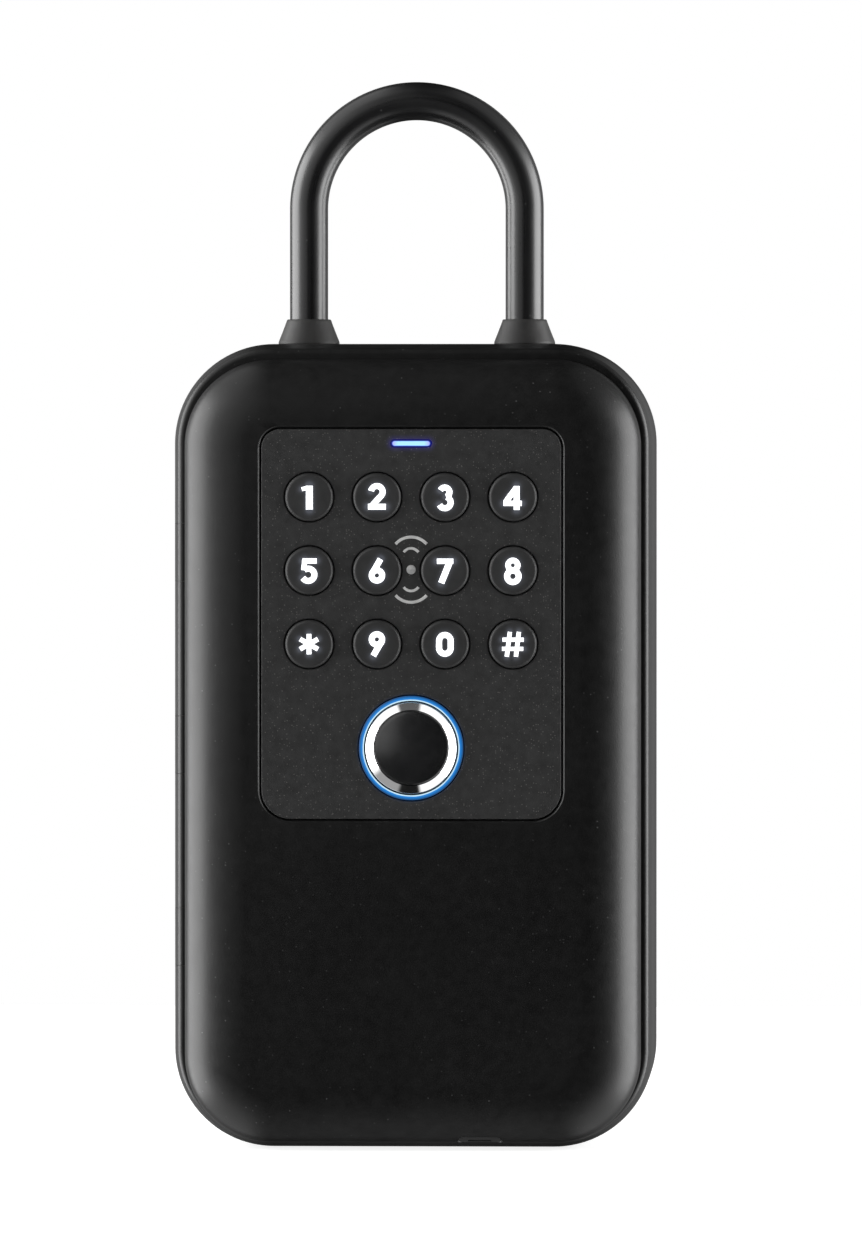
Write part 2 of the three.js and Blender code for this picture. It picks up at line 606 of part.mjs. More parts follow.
function doorTray() {
  const plate = slab(grow(doorShape, -door.wall - gap), trayFront, door.depth);
  const bulge = slab(trayShape, trayFront, tray.depth);
  const cavity = slab(grow(trayShape, -tray.wall), trayFront - overrun, trayInner);
  const trough = block(
    bayLeft - tray.wall, bayRight + tray.wall, bay.front - tray.wall, trayInner + fineGap,
    bay.bottom - tray.wall, trayTop - tray.wall / 2,
  );
  const cradles = [motorBottom + tray.wall, clampTop + tray.wall].map((bottom) => block(
    motorPlace - motor.width / 2, motorPlace + motor.width / 2, motor.depth + motor.thickness / 2 + gap,
    trayInner + fineGap, bottom, bottom + tray.wall,
  ));
  const guide = block(
    bayRight, trayRight - tray.wall / 2, boltFront, trayInner + fineGap, boltBottom - gap - tray.wall,
    boltBottom - gap,
  );
  const cup = rodAlongY(
    buzzer.radius + gap + buzzer.cup, trayInner - buzzer.height * buzzer.cupShare, trayInner + fineGap,
    buzzerX, buzzerZ,
  );
  const clampPosts = clampScrews.map((x) => rodAlongY(
    clamp.ear / 2, clampEarFront + clamp.sheet + fineGap, trayInner + fineGap, x, clampHeight, smallSides,
  ));
  const columns = [-lowerTrayScrews.x, lowerTrayScrews.x].map((x) => rodAlongY(
    screw.post, trayFront, tray.depth - screw.headHeight - fineGap, x, lowerTrayScrews.z, smallSides,
  ));
  const usbCheeks = [-1, 1].map((side) => {
    const near = usb.x + side * (usb.width / 2 + gap);
    const far = near + side * tray.wall;
    const [low, high] = usbCheekShares.map((share) => usb.top * share);
    return block(Math.min(near, far), Math.max(near, far), usb.depth, trayFront + fineGap, low, high);
  });
  const hollow = cut(bulge.add(plate), [cavity]);
  const body = joined([hollow, trough, ...cradles, guide, cup, ...clampPosts, ...columns, ...usbCheeks]);
  const grooveFront = trayInner - gap;
  const screwHoles = [-upperTrayScrews.x, upperTrayScrews.x].map((x) => rodAlongY(
    screw.radius + fineGap, trayFront - overrun, door.depth + overrun, x, upperTrayScrews.z, smallSides,
  ));
  const deepHoles = [-lowerTrayScrews.x, lowerTrayScrews.x].flatMap((x) => [
    rodAlongY(screw.radius + fineGap, trayFront - overrun, tray.depth, x, lowerTrayScrews.z, smallSides),
    rodAlongY(
      screw.head + gap, tray.depth - screw.headHeight - fineGap, tray.depth + overrun, x, lowerTrayScrews.z,
      smallSides,
    ),
  ]);
  add('door_tray', cut(body, [
    block(bayLeft, bayRight, bay.front, trayInner, bay.bottom, trayTop - tray.wall),
    block(bayLeft + bay.lip, bayRight - bay.lip, trayInner - overrun, tray.depth + overrun, bay.bottom - gap,
      trayTop + overrun),
    block(bayLeft - bay.groove, bayRight + bay.groove, grooveFront, trayInner + bay.grooveDepth - gap,
      bay.bottom - gap, trayTop + overrun),
    block(trayRight - tray.corner, trayRight + overrun, boltFront - gap, trayInner,
      boltBottom - gap, boltTop + gap),
    rodAlongY(buzzer.radius + gap, 0, trayInner, buzzerX, buzzerZ),
    ...clampScrews.map((x) => rodAlongY(
      screw.radius + fineGap, clampEarFront, trayInner, x, clampHeight, smallSides,
    )),
    ...screwHoles,
    ...deepHoles,
  ]), innerPlastic);
  const tip = door.wall + 2 * gap;
  const upperHead = door.depth + fineGap / 2;
  const lowerHead = tray.depth - screw.headHeight;
  screwAlongY('tray_screw_1', -upperTrayScrews.x, upperTrayScrews.z, upperHead, tip);
  screwAlongY('tray_screw_2', upperTrayScrews.x, upperTrayScrews.z, upperHead, tip);
  screwAlongY('tray_screw_3', -lowerTrayScrews.x, lowerTrayScrews.z, lowerHead, tip);
  screwAlongY('tray_screw_4', lowerTrayScrews.x, lowerTrayScrews.z, lowerHead, tip);
}

// Battery cover: a plate whose side tongues slide in the tray's grooves
function batteryCover() {
  const front = trayInner;
  const low = bay.bottom;
  const high = trayTop - gap;
  const plate = block(bayLeft + bay.lip + gap, bayRight - bay.lip - gap, front, tray.depth, low, high);
  const tongues = block(
    bayLeft - bay.groove + gap, bayRight + bay.groove - gap, front, front + bay.grooveDepth - 2 * gap, low,
    high,
  );
  const grips = Array.from({ length: bay.grips }, (unused, index) => block(
    (bayLeft + bayRight) / 2 - cell.pitch, (bayLeft + bayRight) / 2 + cell.pitch, tray.depth - gap,
    tray.depth + overrun, high - (2 * index + 3) * tray.wall, high - (2 * index + 2) * tray.wall,
  ));
  add('battery_cover', cut(plate.add(tongues), grips), innerPlastic);
}

// Four AAA cells with their contacts
function batteries() {
  const top = cellBottom + cell.length;
  cellPlaces.forEach((x, index) => {
    const up = index % 2 === 0;
    const cap = cell.radius * cell.capShare;
    const step = cell.radius * cell.stepShare;
    const profile = up
      ? [[0, cellBottom], [cell.radius, cellBottom], [cell.radius, top - step], [cap, top - step],
        [cap, top], [0, top]]
      : [[0, cellBottom], [cap, cellBottom], [cap, cellBottom + step], [cell.radius, cellBottom + step],
        [cell.radius, top], [0, top]];
    add(`battery_${index + 1}`, turnedUpright(profile, x, cell.place, keySides), cellJacket);
  });
  const left = bayLeft + gap;
  const right = bayRight - gap;
  const front = cell.place - cell.radius * cell.contactShare;
  const back = cell.place + cell.radius * cell.contactShare;
  const lowest = bay.bottom + gap;
  add('battery_contact_lower', joined([
    block(left, right, front, back, lowest, lowest + contact.thickness / 2),
    ...cellPlaces.map((x) => rodAlongZ(
      contact.spring, lowest + gap, cellBottom - gap, x, cell.place, smallSides,
    )),
  ]), brass);
  add('battery_contact_upper', block(
    left, right, front, back, top + gap, top + gap + contact.thickness,
  ), brass);
}

// Latch drive: a geared motor, its clamp, the pinion on its shaft and the bolt with its rack
const pitchRadius = gear.teeth * gear.module / 2;
const toothPitch = Math.PI * gear.module;
const rackPitchLine = motor.depth + pitchRadius;

function gearMotor() {
  const { depth, width, thickness, shaft } = motor;
  const place = motorPlace;
  add('gear_motor', joined([
    block(
      place - width / 2, place + width / 2, depth - thickness / 2, depth + thickness / 2, motorBottom,
      motorTop,
    ),
    rodAlongZ(shaft, motorTop - fineGap, gearTop + gap, place, depth, smallSides),
  ]), steel);
  const outer = clampSide + clamp.sheet;
  const strap = block(
    place - outer, place + outer, clampFront, clampEarFront + clamp.sheet, clampBottom, clampTop,
  );
  const room = block(
    place - clampSide, place + clampSide, clampFront + clamp.sheet, trayInner, clampBottom - overrun,
    clampTop + overrun,
  );
  const ears = block(
    place - clampReach, place + clampReach, clampEarFront, clampEarFront + clamp.sheet, clampBottom,
    clampTop,
  );
  add('motor_clamp', cut(strap.add(ears), [room, ...clampScrews.map((x) => rodAlongY(
    screw.radius + fineGap, clampEarFront - overrun, trayInner, x, clampHeight, smallSides,
  ))]), steel);
  clampScrews.forEach((x, index) => {
    add(`motor_clamp_screw_${index + 1}`, turned([
      [0, clampEarFront - screw.headHeight],
      [screw.head * screw.panShare, clampEarFront - screw.headHeight],
      [screw.head, clampEarFront - fineGap / 2], [screw.radius, clampEarFront - fineGap / 2],
      [screw.radius, trayInner - gap], [0, trayInner - gap],
    ], x, clampHeight, smallSides), steel);
  });
}

function pinionSection() {
  const points = [];
  const root = pitchRadius - gear.toothRoot;
  const tip = pitchRadius + gear.toothTip;
  const share = gear.toothShare / 2;
  for (let tooth = 0; tooth < gear.teeth; tooth += 1) {
    const rootTurn = share * gear.rootShare;
    const tipTurn = share * gear.tipShare;
    const steps = [[root, -rootTurn], [tip, -tipTurn], [tip, tipTurn], [root, rootTurn]];
    for (const [radius, turn] of steps) {
      const angle = (tooth + 1 / 2 + turn) / gear.teeth * 2 * Math.PI + Math.PI / 2;
      points.push(new THREE.Vector2(radius * Math.cos(angle), radius * Math.sin(angle)));
    }
  }
  return points;
}

function latch() {
  const gearShape = new THREE.Shape(pinionSection());
  const teeth = new THREE.ExtrudeGeometry(gearShape, { depth: gearTop - gearBottom, bevelEnabled: false });
  const wheel = solid(teeth.translate(motorPlace, motor.depth, gearBottom));
  add('latch_pinion', wheel.subtract(rodAlongZ(
    motor.shaft + gap, gearBottom - overrun, gearTop + overrun, motorPlace, motor.depth, smallSides,
  )), brass);
  const rackFront = rackPitchLine - gear.toothTip;
  const toothBase = toothPitch * gear.toothShare * gear.rackBaseShare;
  const toothCrest = toothPitch * gear.toothShare * gear.rackCrestShare;
  const rack = rackTeeth.map((index) => {
    const middle = motorPlace + index * toothPitch;
    const points = [
      [middle - toothBase, boltFront + fineGap], [middle - toothCrest, rackFront],
      [middle + toothCrest, rackFront], [middle + toothBase, boltFront + fineGap],
    ];
    const shape = new THREE.Shape(points.map(([x, y]) => new THREE.Vector2(x, y)));
    const tooth = new THREE.ExtrudeGeometry(shape, { depth: gearTop - gearBottom, bevelEnabled: false });
    return solid(tooth.translate(0, 0, gearBottom));
  });
  add('latch_bolt', joined([
    block(boltRight - bolt.length, boltRight, boltFront, trayInner - gap, boltBottom, boltTop), ...rack,
  ]), steel);
}

function soundAndPower(shell) {
  add('buzzer', rodAlongY(
    buzzer.radius, trayInner - gap - buzzer.height, trayInner - gap, buzzerX, buzzerZ, keySides,
  ), innerPlastic);
  const socketBottom = usb.top / 2;
  add('usb_socket', cut(usbOpening(-fineGap, socketBottom, usb.top), [
    usbOpening(-usb.cavity - fineGap, 0, usb.top * usb.boreShare),
  ]), steel);
  const plug = usbOpening(0, 0, socketBottom - gap).intersect(shell.outer);
  add('usb_plug', plug, blackRubber);
}

// Shackle: a bent round bar with a neck near each end
class ShackleLine extends THREE.Curve {
  constructor() {
    super();
    this.leg = bendHeight - legEnd;
    this.bend = Math.PI * shackle.span;
    this.whole = 2 * this.leg + this.bend;
  }

  getPoint(share, target = new THREE.Vector3()) {
    const along = share * this.whole;
    if (along <= this.leg) return target.set(-shackle.span, shackleDepth, legEnd + along);
    if (along >= this.leg + this.bend) {
      return target.set(shackle.span, shackleDepth, legEnd + this.whole - along);
    }
    const angle = Math.PI - (along - this.leg) / shackle.span;
    return target.set(
      shackle.span * Math.cos(angle), shackleDepth, bendHeight + shackle.span * Math.sin(angle),
    );
  }
}

function shackleBar() {
  const line = new ShackleLine();
  const circle = new THREE.Shape().absarc(0, 0, shackle.rod, 0, 2 * Math.PI);
  const bar = solid(new THREE.ExtrudeGeometry(circle, {
    steps: barSteps, curveSegments: barSides, bevelEnabled: false, extrudePath: line,
  }));
  const necks = legPlaces.map((x) => turnedUpright([
    [shackle.neck, neckBottom], [shackle.rod + overrun, neckBottom],
    [shackle.rod + overrun, neckBottom + shackle.neckHeight], [shackle.neck, neckBottom + shackle.neckHeight],
    [shackle.neck, neckBottom],
  ], x, shackleDepth));
  add('shackle', cut(bar, necks), blackSteel);
}

function boots() {
  const seat = boxHeight;
  ['left', 'right'].forEach((side, index) => {
    add(`boot_${side}`, turnedUpright([
      [boot.bore, seat - boot.spigotDepth], [boot.spigot, seat - boot.spigotDepth], [boot.spigot, seat],
      [boot.base, seat], [boot.top, seat + boot.height], [boot.bore, seat + boot.height],
      [boot.bore, seat - boot.spigotDepth],
    ], legPlaces[index], shackleDepth), blackRubber);
  });
}

// Shackle lock: a plate with two keyhole slots. At rest the wide holes line up with the legs; moved to
// the left, the narrow slots close round the necks
function shackleLock() {
  const top = slideBottom + slide.thickness;
  const middle = shackleDepth;
  const slideSide = shackle.span + slide.overhang;
  const slideFront = middle - slide.reach;
  const plate = block(-slideSide, slideSide, slideFront, middle + slide.reach, slideBottom, top);
  const tabFront = slideFront - slide.thickness;
  const tab = block(
    -slide.tab / 2, slide.tab / 2, tabFront, slideFront + fineGap, coverTop - 2 * slide.thickness, top,
  );
  const tools = legPlaces.flatMap((x) => [
    rodAlongZ(slide.hole, slideBottom - overrun, top + overrun, x, middle),
    rodAlongZ(slide.slot, slideBottom - overrun, top + overrun, x + slide.travel, middle, keySides),
    block(
      x, x + slide.travel, middle - slide.slot, middle + slide.slot, slideBottom - overrun, top + overrun,
    ),
  ]);
  const slots = postPlaces.map((x) => block(
    x - cover.post - gap, x + cover.post + gap + slide.travel, middle - cover.post - gap,
    middle + cover.post + gap, slideBottom - overrun, top + overrun,
  ));
  const lifted = cut(plate.add(tab), [...tools, ...slots]);
  add('shackle_lock_slide', lifted, steel);
  const coverSide = shackle.span + cover.overhang;
  const sheet = block(
    -coverSide, coverSide, middle - cover.reach + slide.thickness, middle + cover.reach,
    coverTop - cover.thickness, coverTop,
  );
  const railFronts = [slideFront + gap + fineGap, middle + slide.reach - gap - cover.rail];
  const rails = railFronts.map((front) => block(
    -coverSide, coverSide, front, front + cover.rail, coverTop - fineGap, slideBottom - gap,
  ));
  const holes = postPlaces.map((x) => rodAlongZ(
    screw.radius + fineGap, coverTop - 2 * cover.thickness, coverTop + overrun, x, middle, smallSides,
  ));
  add('lock_cover', cut(joined([sheet, ...rails]), holes), innerPlastic);
  const headTop = coverTop - cover.thickness - fineGap / 2;
  postPlaces.forEach((x, index) => {
    add(`lock_cover_screw_${index + 1}`, turnedUpright([
      [0, headTop - screw.headHeight], [screw.head * screw.panShare, headTop - screw.headHeight],
      [screw.head, headTop], [screw.radius, headTop], [screw.radius, coverTop + cover.screwDepth],
      [0, coverTop + cover.screwDepth],
    ], x, middle, smallSides), steel);
  });
}

// Wall-mounting holes are closed by rubber plugs, and a felt sheet lines the back
function backOfCase() {
  const headFront = backInner - gap - wallHole.headHeight;
  wallHolePlaces.forEach(([x, z], index) => {
    add(`hole_plug_${index + 1}`, turned([
      [0, headFront], [wallHole.head, headFront], [wallHole.head, headFront + wallHole.headHeight],
      [wallHole.stem, headFront + wallHole.headHeight], [wallHole.stem, box.depth - gap],
      [0, box.depth - gap],
    ], x, z, keySides), blackRubber);
  });
  const linerShape = outline(
    -half + liner.inset, half - liner.inset, liner.inset, boxHeight - liner.fromTop, box.corner - liner.inset,
    tray.corner,
  );
  const front = backInner - gap - liner.thickness;
  add('liner_pad', cut(slab(linerShape, front, front + liner.thickness), wallHolePlaces.map(
    ([x, z]) => rodAlongY(wallHole.head + gap, front - overrun, backInner, x, z, keySides),
  )), feltGrey);
}

const doorCover = doorShell();
rearCase();
doorSeal();
hingePin();
frontCover(doorCover);
keypadPanel();
keys();
statusLight();
sensorStack();
keyMat();
mainBoard();
doorTray();
batteryCover();
batteries();
gearMotor();
latch();
soundAndPower(doorCover);
shackleBar();
boots();
shackleLock();
backOfCase();

keyBox.position.y = -(box.depth - key.proud) / 2;
keyBox.updateMatrixWorld(true);

export default keyBox;
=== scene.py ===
import math

import bmesh
import bpy
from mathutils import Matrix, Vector


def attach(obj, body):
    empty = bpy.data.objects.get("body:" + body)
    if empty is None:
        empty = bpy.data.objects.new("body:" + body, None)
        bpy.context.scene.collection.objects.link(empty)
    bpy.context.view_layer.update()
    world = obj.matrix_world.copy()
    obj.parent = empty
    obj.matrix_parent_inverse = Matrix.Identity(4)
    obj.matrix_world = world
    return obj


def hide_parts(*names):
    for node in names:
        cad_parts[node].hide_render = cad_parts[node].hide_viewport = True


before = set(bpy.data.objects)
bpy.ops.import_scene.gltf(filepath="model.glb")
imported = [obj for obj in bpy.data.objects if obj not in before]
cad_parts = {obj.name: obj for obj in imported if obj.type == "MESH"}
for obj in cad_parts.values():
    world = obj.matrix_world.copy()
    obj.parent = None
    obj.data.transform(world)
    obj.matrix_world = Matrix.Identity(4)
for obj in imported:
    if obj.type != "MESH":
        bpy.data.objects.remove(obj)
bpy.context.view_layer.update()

# Rear case. A die-cast tray with a rounded rim; inside the rim a flange carries the door seal, and
# ribs and bosses stand under it for the hinge, the shackle and the lock. The casting is powder
# coated black all over, with a fine grain that sparkles a little.

# Sizes are in millimetres; depths count back from the door's front face, 23.6 before the middle
DOOR_FACE = 23.6
CASE = dict(left=-50, right=50, bottom=0, top=167.4, low=20.8, high=20.8)
RIM_FRONT = 9.8
FLANGE_BACK = 13.0
SHACKLE_LEGS = (-22.6, 22.6)
SHACKLE_DEPTH = 30
LOCK_POSTS = (-9.5, 9.5)
HINGE_LINE = (-47.7, 12.1)
KNUCKLES = (38, 78, 118)
KNUCKLE_LENGTH = 12
WALL_HOLES = ((-30, 30), (-30, 130), (30, 30), (30, 130))


def spot(across, depth, up):
    """A point in metres, from millimetres across, behind the door's front face, and up."""
    return Vector((across / 1000, (depth - DOOR_FACE) / 1000, up / 1000))


def outline(shape, inset=0, steps=20):
    """The rounded outline of a shape, drawn in by inset, as (across, up) points."""
    left, right = shape["left"] + inset, shape["right"] - inset
    bottom, top = shape["bottom"] + inset, shape["top"] - inset
    low, high = max(shape["low"] - inset, 0.05), max(shape["high"] - inset, 0.05)
    corners = ((right - low, bottom + low, low, 3), (right - high, top - high, high, 0),
               (left + high, top - high, high, 1), (left + low, bottom + low, low, 2))
    points = []
    for across, up, radius, quarter in corners:
        for step in range(steps + 1):
            turn = (quarter + step / steps) * math.pi / 2
            points.append((across + radius * math.cos(turn), up + radius * math.sin(turn)))
    return points


def piece(name, mesh, material=None, smooth_under=32):
    """Puts a mesh into the scene with smooth faces and crisp edges over the given angle."""
    obj = bpy.data.objects.new(name, mesh)
    bpy.context.scene.collection.objects.link(obj)
    mesh.polygons.foreach_set("use_smooth", [True] * len(mesh.polygons))
    mesh.set_sharp_from_angle(angle=math.radians(smooth_under))
    obj.modifiers.new("flat_faces_stay_flat", "WEIGHTED_NORMAL").keep_sharp = True
    if material:
        mesh.materials.clear()
        mesh.materials.append(material)
    return obj


def built(name, shell):
    """The mesh of a shell put together face by face, with its faces turned outwards."""
    bmesh.ops.recalc_face_normals(shell, faces=shell.faces)
    mesh = bpy.data.meshes.new(name)
    shell.to_mesh(mesh)
    shell.free()
    return mesh


def skinned(name, rings, looped=False):
    """A closed mesh through matching rings of points; the end rings get a face unless looped."""
    shell = bmesh.new()
    loops = [[shell.verts.new(point) for point in ring] for ring in rings]
    pairs = list(zip(loops, loops[1:])) + ([(loops[-1], loops[0])] if looped else [])
    for near, far in pairs:
        for index in range(len(near)):
            after = (index + 1) % len(near)
            shell.faces.new((near[index], far[index], far[after], near[after]))
    if not looped:
        shell.faces.new(loops[0])
        shell.faces.new(loops[-1])
    return built(name, shell)


def shelled(name, sections, looped=False, steps=20):
    """A body whose sections are (shape, inset, depth) from one end of its wall to the other."""
    rings = []
    for shape, inset, depth in sections:
        rings.append([spot(across, depth, up) for across, up in outline(shape, inset, steps)])
    return skinned(name, rings, looped)


def turned(name, profile, across, up, sides=64, upright_at=None):
    """A profile of (radius, depth) turned about a line along the depth, or of (radius, height)
    turned about an upright line at the depth upright_at. Radius 0 closes at a single point."""
    shell = bmesh.new()
    loops = []
    for radius, along in profile:
        count = 1 if radius == 0 else sides
        loop = []
        for side in range(count):
            turn = 2 * math.pi * side / sides
            over, other = radius * math.cos(turn), radius * math.sin(turn)
            if upright_at is None:
                loop.append(shell.verts.new(spot(across + over, along, up + other)))
            else:
                loop.append(shell.verts.new(spot(across + over, upright_at + other, along)))
        loops.append(loop)
    closed = profile[0][0] != 0
    for near, far in list(zip(loops, loops[1:])) + ([(loops[-1], loops[0])] if closed else []):
        for side in range(sides):
            after = (side + 1) % sides
            if len(near) == 1:
                shell.faces.new((near[0], far[side], far[after]))
            elif len(far) == 1:
                shell.faces.new((near[side], near[after], far[0]))
            else:
                shell.faces.new((near[side], near[after], far[after], far[side]))
    return built(name, shell)


def boxed(name, left, right, front, back, bottom, top, edge):
    """A block with softened edges."""
    shell = bmesh.new()
    bmesh.ops.create_cube(shell, size=1)
    low, high = spot(left, front, bottom), spot(right, back, top)
    for vertex in shell.verts:
        vertex.co = [near + (share + 0.5) * (far - near) for share, near, far in zip(vertex.co, low, high)]
    if edge:
        bmesh.ops.bevel(shell, geom=shell.edges[:], offset=edge / 1000, segments=2, profile=0.5,
                        affect="EDGES")
    return built(name, shell)


def gathered(name, meshes):
    """Several meshes put together as one."""
    shell = bmesh.new()
    for mesh in meshes:
        shell.from_mesh(mesh)
        bpy.data.meshes.remove(mesh)
    whole = bpy.data.meshes.new(name)
    shell.to_mesh(whole)
    shell.free()
    return whole


def carved(name, mesh, tool_meshes):
    """A mesh with the tool shapes cut out of it."""
    stock = bpy.data.objects.new(name, mesh)
    bpy.context.scene.collection.objects.link(stock)
    tools = []
    for tool_mesh in tool_meshes:
        tool = bpy.data.objects.new(name + "_cut", tool_mesh)
        bpy.context.scene.collection.objects.link(tool)
        cut = stock.modifiers.new("cut", "BOOLEAN")
        cut.object, cut.operation, cut.solver = tool, "DIFFERENCE", "EXACT"
        tools.append(tool)
    graph = bpy.context.evaluated_depsgraph_get()
    result = bpy.data.meshes.new_from_object(stock.evaluated_get(graph), depsgraph=graph)
    for used in tools + [stock]:
        used_mesh = used.data
        bpy.data.objects.remove(used)
        bpy.data.meshes.remove(used_mesh)
    return result


def arc_steps(start, end, count):
    return [math.radians(start + (end - start) * step / count) for step in range(count + 1)]


# The rim's nose: (inset, depth) from the side wall round to the front
RIM_NOSE = [(0.06, 17), (0.2, 14.6), (0.45, 12.9), (0.75, 11.8)]
RIM_NOSE += [(0.95 + 1.3 * (1 - math.sin(turn)), RIM_FRONT + 1.3 * (1 - math.cos(turn)))
             for turn in arc_steps(80, 0, 10)]


def case_shell():
    """The casting's wall, followed from the middle of the back round the rim to the inside."""
    wall = [(12, 48), (4, 48)]
    wall += [(3 * (1 - math.sin(turn)), 48 - 3 * (1 - math.cos(turn))) for turn in arc_steps(0, 90, 8)]
    wall += [(0, 30)]
    seal_groove = [(5.0, RIM_FRONT), (5.2, 9.9), (5.25, 10.2), (5.25, 11.2), (6.75, 11.2), (6.75, 10),
                   (6.85, 9.85), (7.15, 9.8)]
    flange = [(7.35, 9.9), (7.4, 10.2), (7.4, 12.7), (7.3, 12.93), (7.0, FLANGE_BACK), (2.9, FLANGE_BACK)]
    inside = [(2.4, 13.5), (2.4, 44.3), (2.75, 45.15), (3.6, 45.5), (12, 45.5)]
    wall += RIM_NOSE + [(3.2, RIM_FRONT)] + seal_groove + flange + inside
    return shelled("case_shell", [(CASE, inset, depth) for inset, depth in wall], steps=28)


def hinge_rib():
    """The rib behind the flange that the hinge pin runs in, slanted where the corner turns in."""
    plan = [(-42.6, 10.6), (-46, 10.6), (-48.8, 20), (-48.8, 133), (-42.6, 133)]
    rings = [[spot(across, depth, up) for across, up in plan] for depth in (12.5, 16.6, 17)]
    return skinned("hinge_rib", rings)


knuckle_rooms = [boxed("room", -52, -45.15, 8, 14.7, low - 0.04, low + KNUCKLE_LENGTH + 0.04, 0)
                 for low in KNUCKLES]
leg_holes = [turned("hole", [(0, 163), (5.7, 163), (5.7, 169), (0, 169)], across, 0, 48, SHACKLE_DEPTH)
             for across in SHACKLE_LEGS]
screw_holes = [turned("hole", [(0, 44), (2.5, 44), (2.5, 49), (0, 49)], across, up, 32)
               for across, up in WALL_HOLES]
BOSS = [(4.3, 156.9), (4.5, 156.7), (6.5, 156.7), (6.8, 157), (6.8, 166), (4.3, 166)]
POST = [(0, 149.7), (2.3, 149.7), (2.5, 149.9), (2.5, 166), (0, 166)]
bosses = [turned("boss", BOSS, across, 0, 48, SHACKLE_DEPTH) for across in SHACKLE_LEGS]
posts = [turned("post", POST, across, 0, 32, SHACKLE_DEPTH) for across in LOCK_POSTS]
casting = carved("casting", case_shell(), knuckle_rooms + leg_holes + screw_holes)
rear_case = piece("rear_casting", gathered("rear_casting", [casting, hinge_rib()] + bosses + posts))


def wire(tree, source, target):
    tree.links.new(source, target)


def made(tree, kind, inputs=(), **settings):
    """A node whose inputs are wired to a socket or set to a value, each by its name or number."""
    node = tree.nodes.new(kind)
    for label, value in settings.items():
        setattr(node, label, value)
    for label, value in inputs:
        if hasattr(value, "links"):
            wire(tree, value, node.inputs[label])
        else:
            node.inputs[label].default_value = value
    return node


def shader_group(name, inputs, outputs):
    """An empty shader group with number inputs and number outputs."""
    tree = bpy.data.node_groups.new(name, "ShaderNodeTree")
    for label, value in inputs.items():
        socket = tree.interface.new_socket(label, in_out="INPUT", socket_type="NodeSocketFloat")
        socket.default_value = value
    for label in outputs:
        tree.interface.new_socket(label, in_out="OUTPUT", socket_type="NodeSocketFloat")
    return tree, tree.nodes.new("NodeGroupInput"), tree.nodes.new("NodeGroupOutput")


def counted(tree, operation, *values):
    """A math node on sockets or plain numbers; gives its result."""
    return made(tree, "ShaderNodeMath", enumerate(values), operation=operation).outputs[0]


def times(tree, first, second):
    return counted(tree, "MULTIPLY", first, second)


def plus(tree, first, second):
    return counted(tree, "ADD", first, second)


def spanned(tree, value, low, high, to_low=0.0, to_high=1.0):
    """Spreads a value between low and high over a new range, held inside it."""
    inputs = (("Value", value), ("From Min", low), ("From Max", high), ("To Min", to_low),
              ("To Max", to_high))
    return made(tree, "ShaderNodeMapRange", inputs).outputs["Result"]


def cloudy(tree, where, scale, detail, rough):
    inputs = (("Vector", where), ("Scale", scale), ("Detail", detail), ("Roughness", rough))
    return made(tree, "ShaderNodeTexNoise", inputs).outputs["Fac"]


def object_place(tree):
    return tree.nodes.new("ShaderNodeTexCoord").outputs["Object"]


# Grain: the fine unevenness of a sprayed or moulded surface, with a few bright flecks in it
grain, grain_in, grain_out = shader_group(
    "fine_grain", {"Grains": 2600.0, "Fleck Share": 0.06}, ("Height", "Mottle", "Fleck"))
place = object_place(grain)
wire(grain, cloudy(grain, place, grain_in.outputs["Grains"], 3.0, 0.6), grain_out.inputs["Height"])
wire(grain, spanned(grain, cloudy(grain, place, 420.0, 4.0, 0.62), 0.3, 0.7), grain_out.inputs["Mottle"])
cell_scale = times(grain, grain_in.outputs["Grains"], 0.42)
cells = made(grain, "ShaderNodeTexVoronoi", [("Vector", place), ("Scale", cell_scale)])
luck = made(grain, "ShaderNodeSeparateColor", [("Color", cells.outputs["Color"])])
lucky = counted(grain, "LESS_THAN", luck.outputs["Red"], grain_in.outputs["Fleck Share"])
near = spanned(grain, cells.outputs["Distance"], 0.3, 0.12)
wire(grain, times(grain, times(grain, lucky, near), luck.outputs["Green"]), grain_out.inputs["Fleck"])

# Handling: where hands and cloths have left a surface a little duller or shinier
handling, handling_in, handling_out = shader_group("handling", {"Spread": 28.0}, ("Smudge",))
smears = cloudy(handling, object_place(handling), handling_in.outputs["Spread"], 5.0, 0.68)
wire(handling, spanned(handling, smears, 0.38, 0.66), handling_out.inputs["Smudge"])


def placed(tree, group, **values):
    """A shader group set into a material with its own values."""
    inputs = [(label.replace("_", " "), value) for label, value in values.items()]
    return made(tree, "ShaderNodeGroup", inputs, node_tree=group)


def blended(tree, share, first, second, way="MIX"):
    """Two colours mixed or added, each a colour or a socket, by a share that may vary."""
    node = made(tree, "ShaderNodeMix", [("Factor", share)], data_type="RGBA", blend_type=way)
    for label, value in (("A", first), ("B", second)):
        target = next(item for item in node.inputs if item.name == label and item.type == "RGBA")
        if isinstance(value, tuple):
            target.default_value = (*value, 1)
        else:
            wire(tree, value, target)
    return next(item for item in node.outputs if item.type == "RGBA")


def bumped(tree, shader, height, distance):
    """Makes the surface uneven by a height from 0 to 1, which stands for the distance in metres."""
    bump = made(tree, "ShaderNodeBump", [("Distance", distance), ("Strength", 1.0), ("Height", height)])
    wire(tree, bump.outputs["Normal"], shader.inputs["Normal"])


def new_material(name, **settings):
    """A material with a plain shader whose constant sockets are set directly."""
    material = bpy.data.materials.new(name)
    material.use_nodes = True
    tree = material.node_tree
    shader = tree.nodes["Principled BSDF"]
    for label, value in settings.items():
        shader.inputs[label.replace("_", " ")].default_value = value
    return material, tree, shader


def painted(tree, shader, share, first, second, socket="Base Color"):
    """Gives the shader a colour between two, by a share that varies over the surface."""
    wire(tree, blended(tree, share, first, second), shader.inputs[socket])


